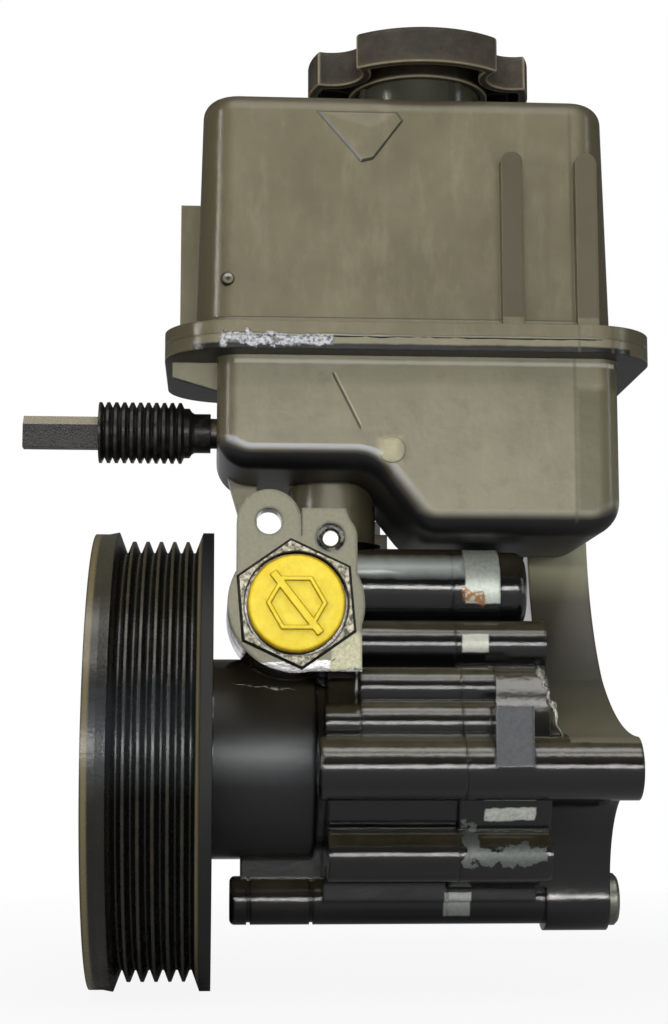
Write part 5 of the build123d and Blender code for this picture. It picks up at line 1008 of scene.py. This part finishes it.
def white_room(looks):
    """World that the camera sees white, with an even light that is stronger from behind."""
    world = bpy.data.worlds.new("white_room")
    tree = empty_tree(world)
    seen, mirrored = ray_kinds(tree)
    towards = add(tree, "SeparateXYZ", {0: add(tree, "TexCoord").outputs["Generated"]}).outputs
    steep = add(tree, "Math", {0: towards[2]}, operation="ABSOLUTE")
    horizon = (steep, HORIZON_HEIGHTS[0], HORIZON_HEIGHTS[1], 1.0, looks.ceiling)
    even = (towards[1], 0.0, 0.9, looks.room_light, looks.back_light)
    lights = {0: mirrored, 3: add(tree, "MapRange", even), 4: add(tree, "MapRange", horizon)}
    strength = add(tree, "MapRange", {0: seen, 3: add(tree, "MapRange", lights), 4: 1.0})
    background = add(tree, "Background", {"Color": (1.0, 1.0, 1.0, 1.0), "Strength": strength})
    add(tree, "OutputWorld", {"Surface": background})
    return world


def white_paper():
    """White paper of the floor: matt where the part stands, and glowing into the white room further off."""
    paper = bpy.data.materials.new("white_paper_floor")
    tree = empty_tree(paper)
    seen, mirrored = ray_kinds(tree)
    away = add(tree, "VectorMath", {0: add(tree, "TexCoord").outputs["Object"]}, operation="LENGTH")
    seen_share = add(tree, "MapRange", (away, 0.15, 0.5, 0.9, 1.0))
    far = add(tree, "MapRange", {0: away, 1: 0.8, 2: 3.0, 4: 0.3})
    share = product(tree, mirrored, far)
    share = add(tree, "Mix", {0: seen, 2: share, 3: seen_share})
    matt = add(tree, "BsdfDiffuse", {"Color": srgb("#BCBCBC")})
    glow = add(tree, "Emission", {"Color": (1.0, 1.0, 1.0, 1.0), "Strength": 1.0})
    add(tree, "OutputMaterial", {"Surface": add(tree, "MixShader", (share, matt, glow))})
    return paper


class PUMP_OT_studio(bpy.types.Operator):
    """Builds the pale floor, the white room, the lamps and the camera"""

    bl_idname = "pump.studio"
    bl_label = "Studio"

    def execute(self, context):
        looks, scene = context.scene.pump_looks, context.scene
        scene.view_settings.view_transform = "Standard"
        scene.world = white_room(looks)

        floor_mesh = bpy.data.meshes.new("floor")
        corners = ((-1, -1), (1, -1), (1, 1), (-1, 1))
        spots = [(x * FLOOR_REACH, y * FLOOR_REACH, CAD_LOW.z) for x, y in corners]
        floor_mesh.from_pydata(spots, [], [(0, 1, 2, 3)])
        floor = bpy.data.objects.new("floor", floor_mesh)
        scene.collection.objects.link(floor)
        floor_mesh.materials.append(white_paper())

        area_light("strip_over_camera", (-0.10, -1.02, 0.10), (0.9, 0.04), looks.key_power, WARM)
        area_light("softbox", (-0.10, -0.72, 0.82), (0.9, 0.16), looks.softbox_power, WARM)
        area_light("left_strip", (-0.95, -0.45, 0.20), (0.04, 0.8), looks.left_power, (1.0, 0.97, 0.9))
        area_light("right_strip", (0.85, -0.40, 0.22), (0.05, 0.8), looks.right_power, COOL)
        area_light("overhead", (-0.08, -0.42, 1.0), (0.9, 0.3), looks.overhead_power, NEUTRAL)

        lens = bpy.data.cameras.new("camera")
        lens.sensor_width, lens.lens = SENSOR_WIDTH, FOCAL_LENGTH
        lens.clip_start, lens.clip_end = 0.01, 50.0
        camera = bpy.data.objects.new("camera", lens)
        camera.location = CAMERA_PLACE
        level = math.cos(CAMERA_PITCH)
        ahead = Vector((math.sin(CAMERA_YAW) * level, math.cos(CAMERA_YAW) * level, math.sin(CAMERA_PITCH)))
        camera.rotation_euler = ahead.to_track_quat("-Z", "Y").to_euler()
        scene.collection.objects.link(camera)
        scene.camera = camera
        return {"FINISHED"}


class PUMP_PT_panel(bpy.types.Panel):
    """Lists the pump's pieces and the studio"""

    bl_idname = "PUMP_PT_panel"
    bl_label = "Power steering pump"
    bl_space_type = "VIEW_3D"
    bl_region_type = "UI"
    bl_category = "Pump"

    def draw(self, context):
        for name in PumpLooks.__annotations__:
            self.layout.prop(context.scene.pump_looks, name)
        for operator in OPERATORS:
            self.layout.operator(operator.bl_idname)


OPERATORS = (
    PUMP_OT_castings,
    PUMP_OT_pulley,
    PUMP_OT_reservoir,
    PUMP_OT_caps,
    PUMP_OT_metal_parts,
    PUMP_OT_seals,
    PUMP_OT_studio,
)
CLASSES = (PumpLooks, *OPERATORS, PUMP_PT_panel)


def register():
    for cls in CLASSES:
        bpy.utils.register_class(cls)
    bpy.types.Scene.pump_looks = PointerProperty(type=PumpLooks)


def unregister():
    del bpy.types.Scene.pump_looks
    for cls in reversed(CLASSES):
        bpy.utils.unregister_class(cls)


def main():
    register()
    bpy.ops.pump.castings()
    bpy.ops.pump.pulley()
    bpy.ops.pump.reservoir()
    bpy.ops.pump.caps()
    bpy.ops.pump.metal_parts()
    bpy.ops.pump.seals()
    bpy.ops.pump.studio()


if __name__ == "__main__":
    main()
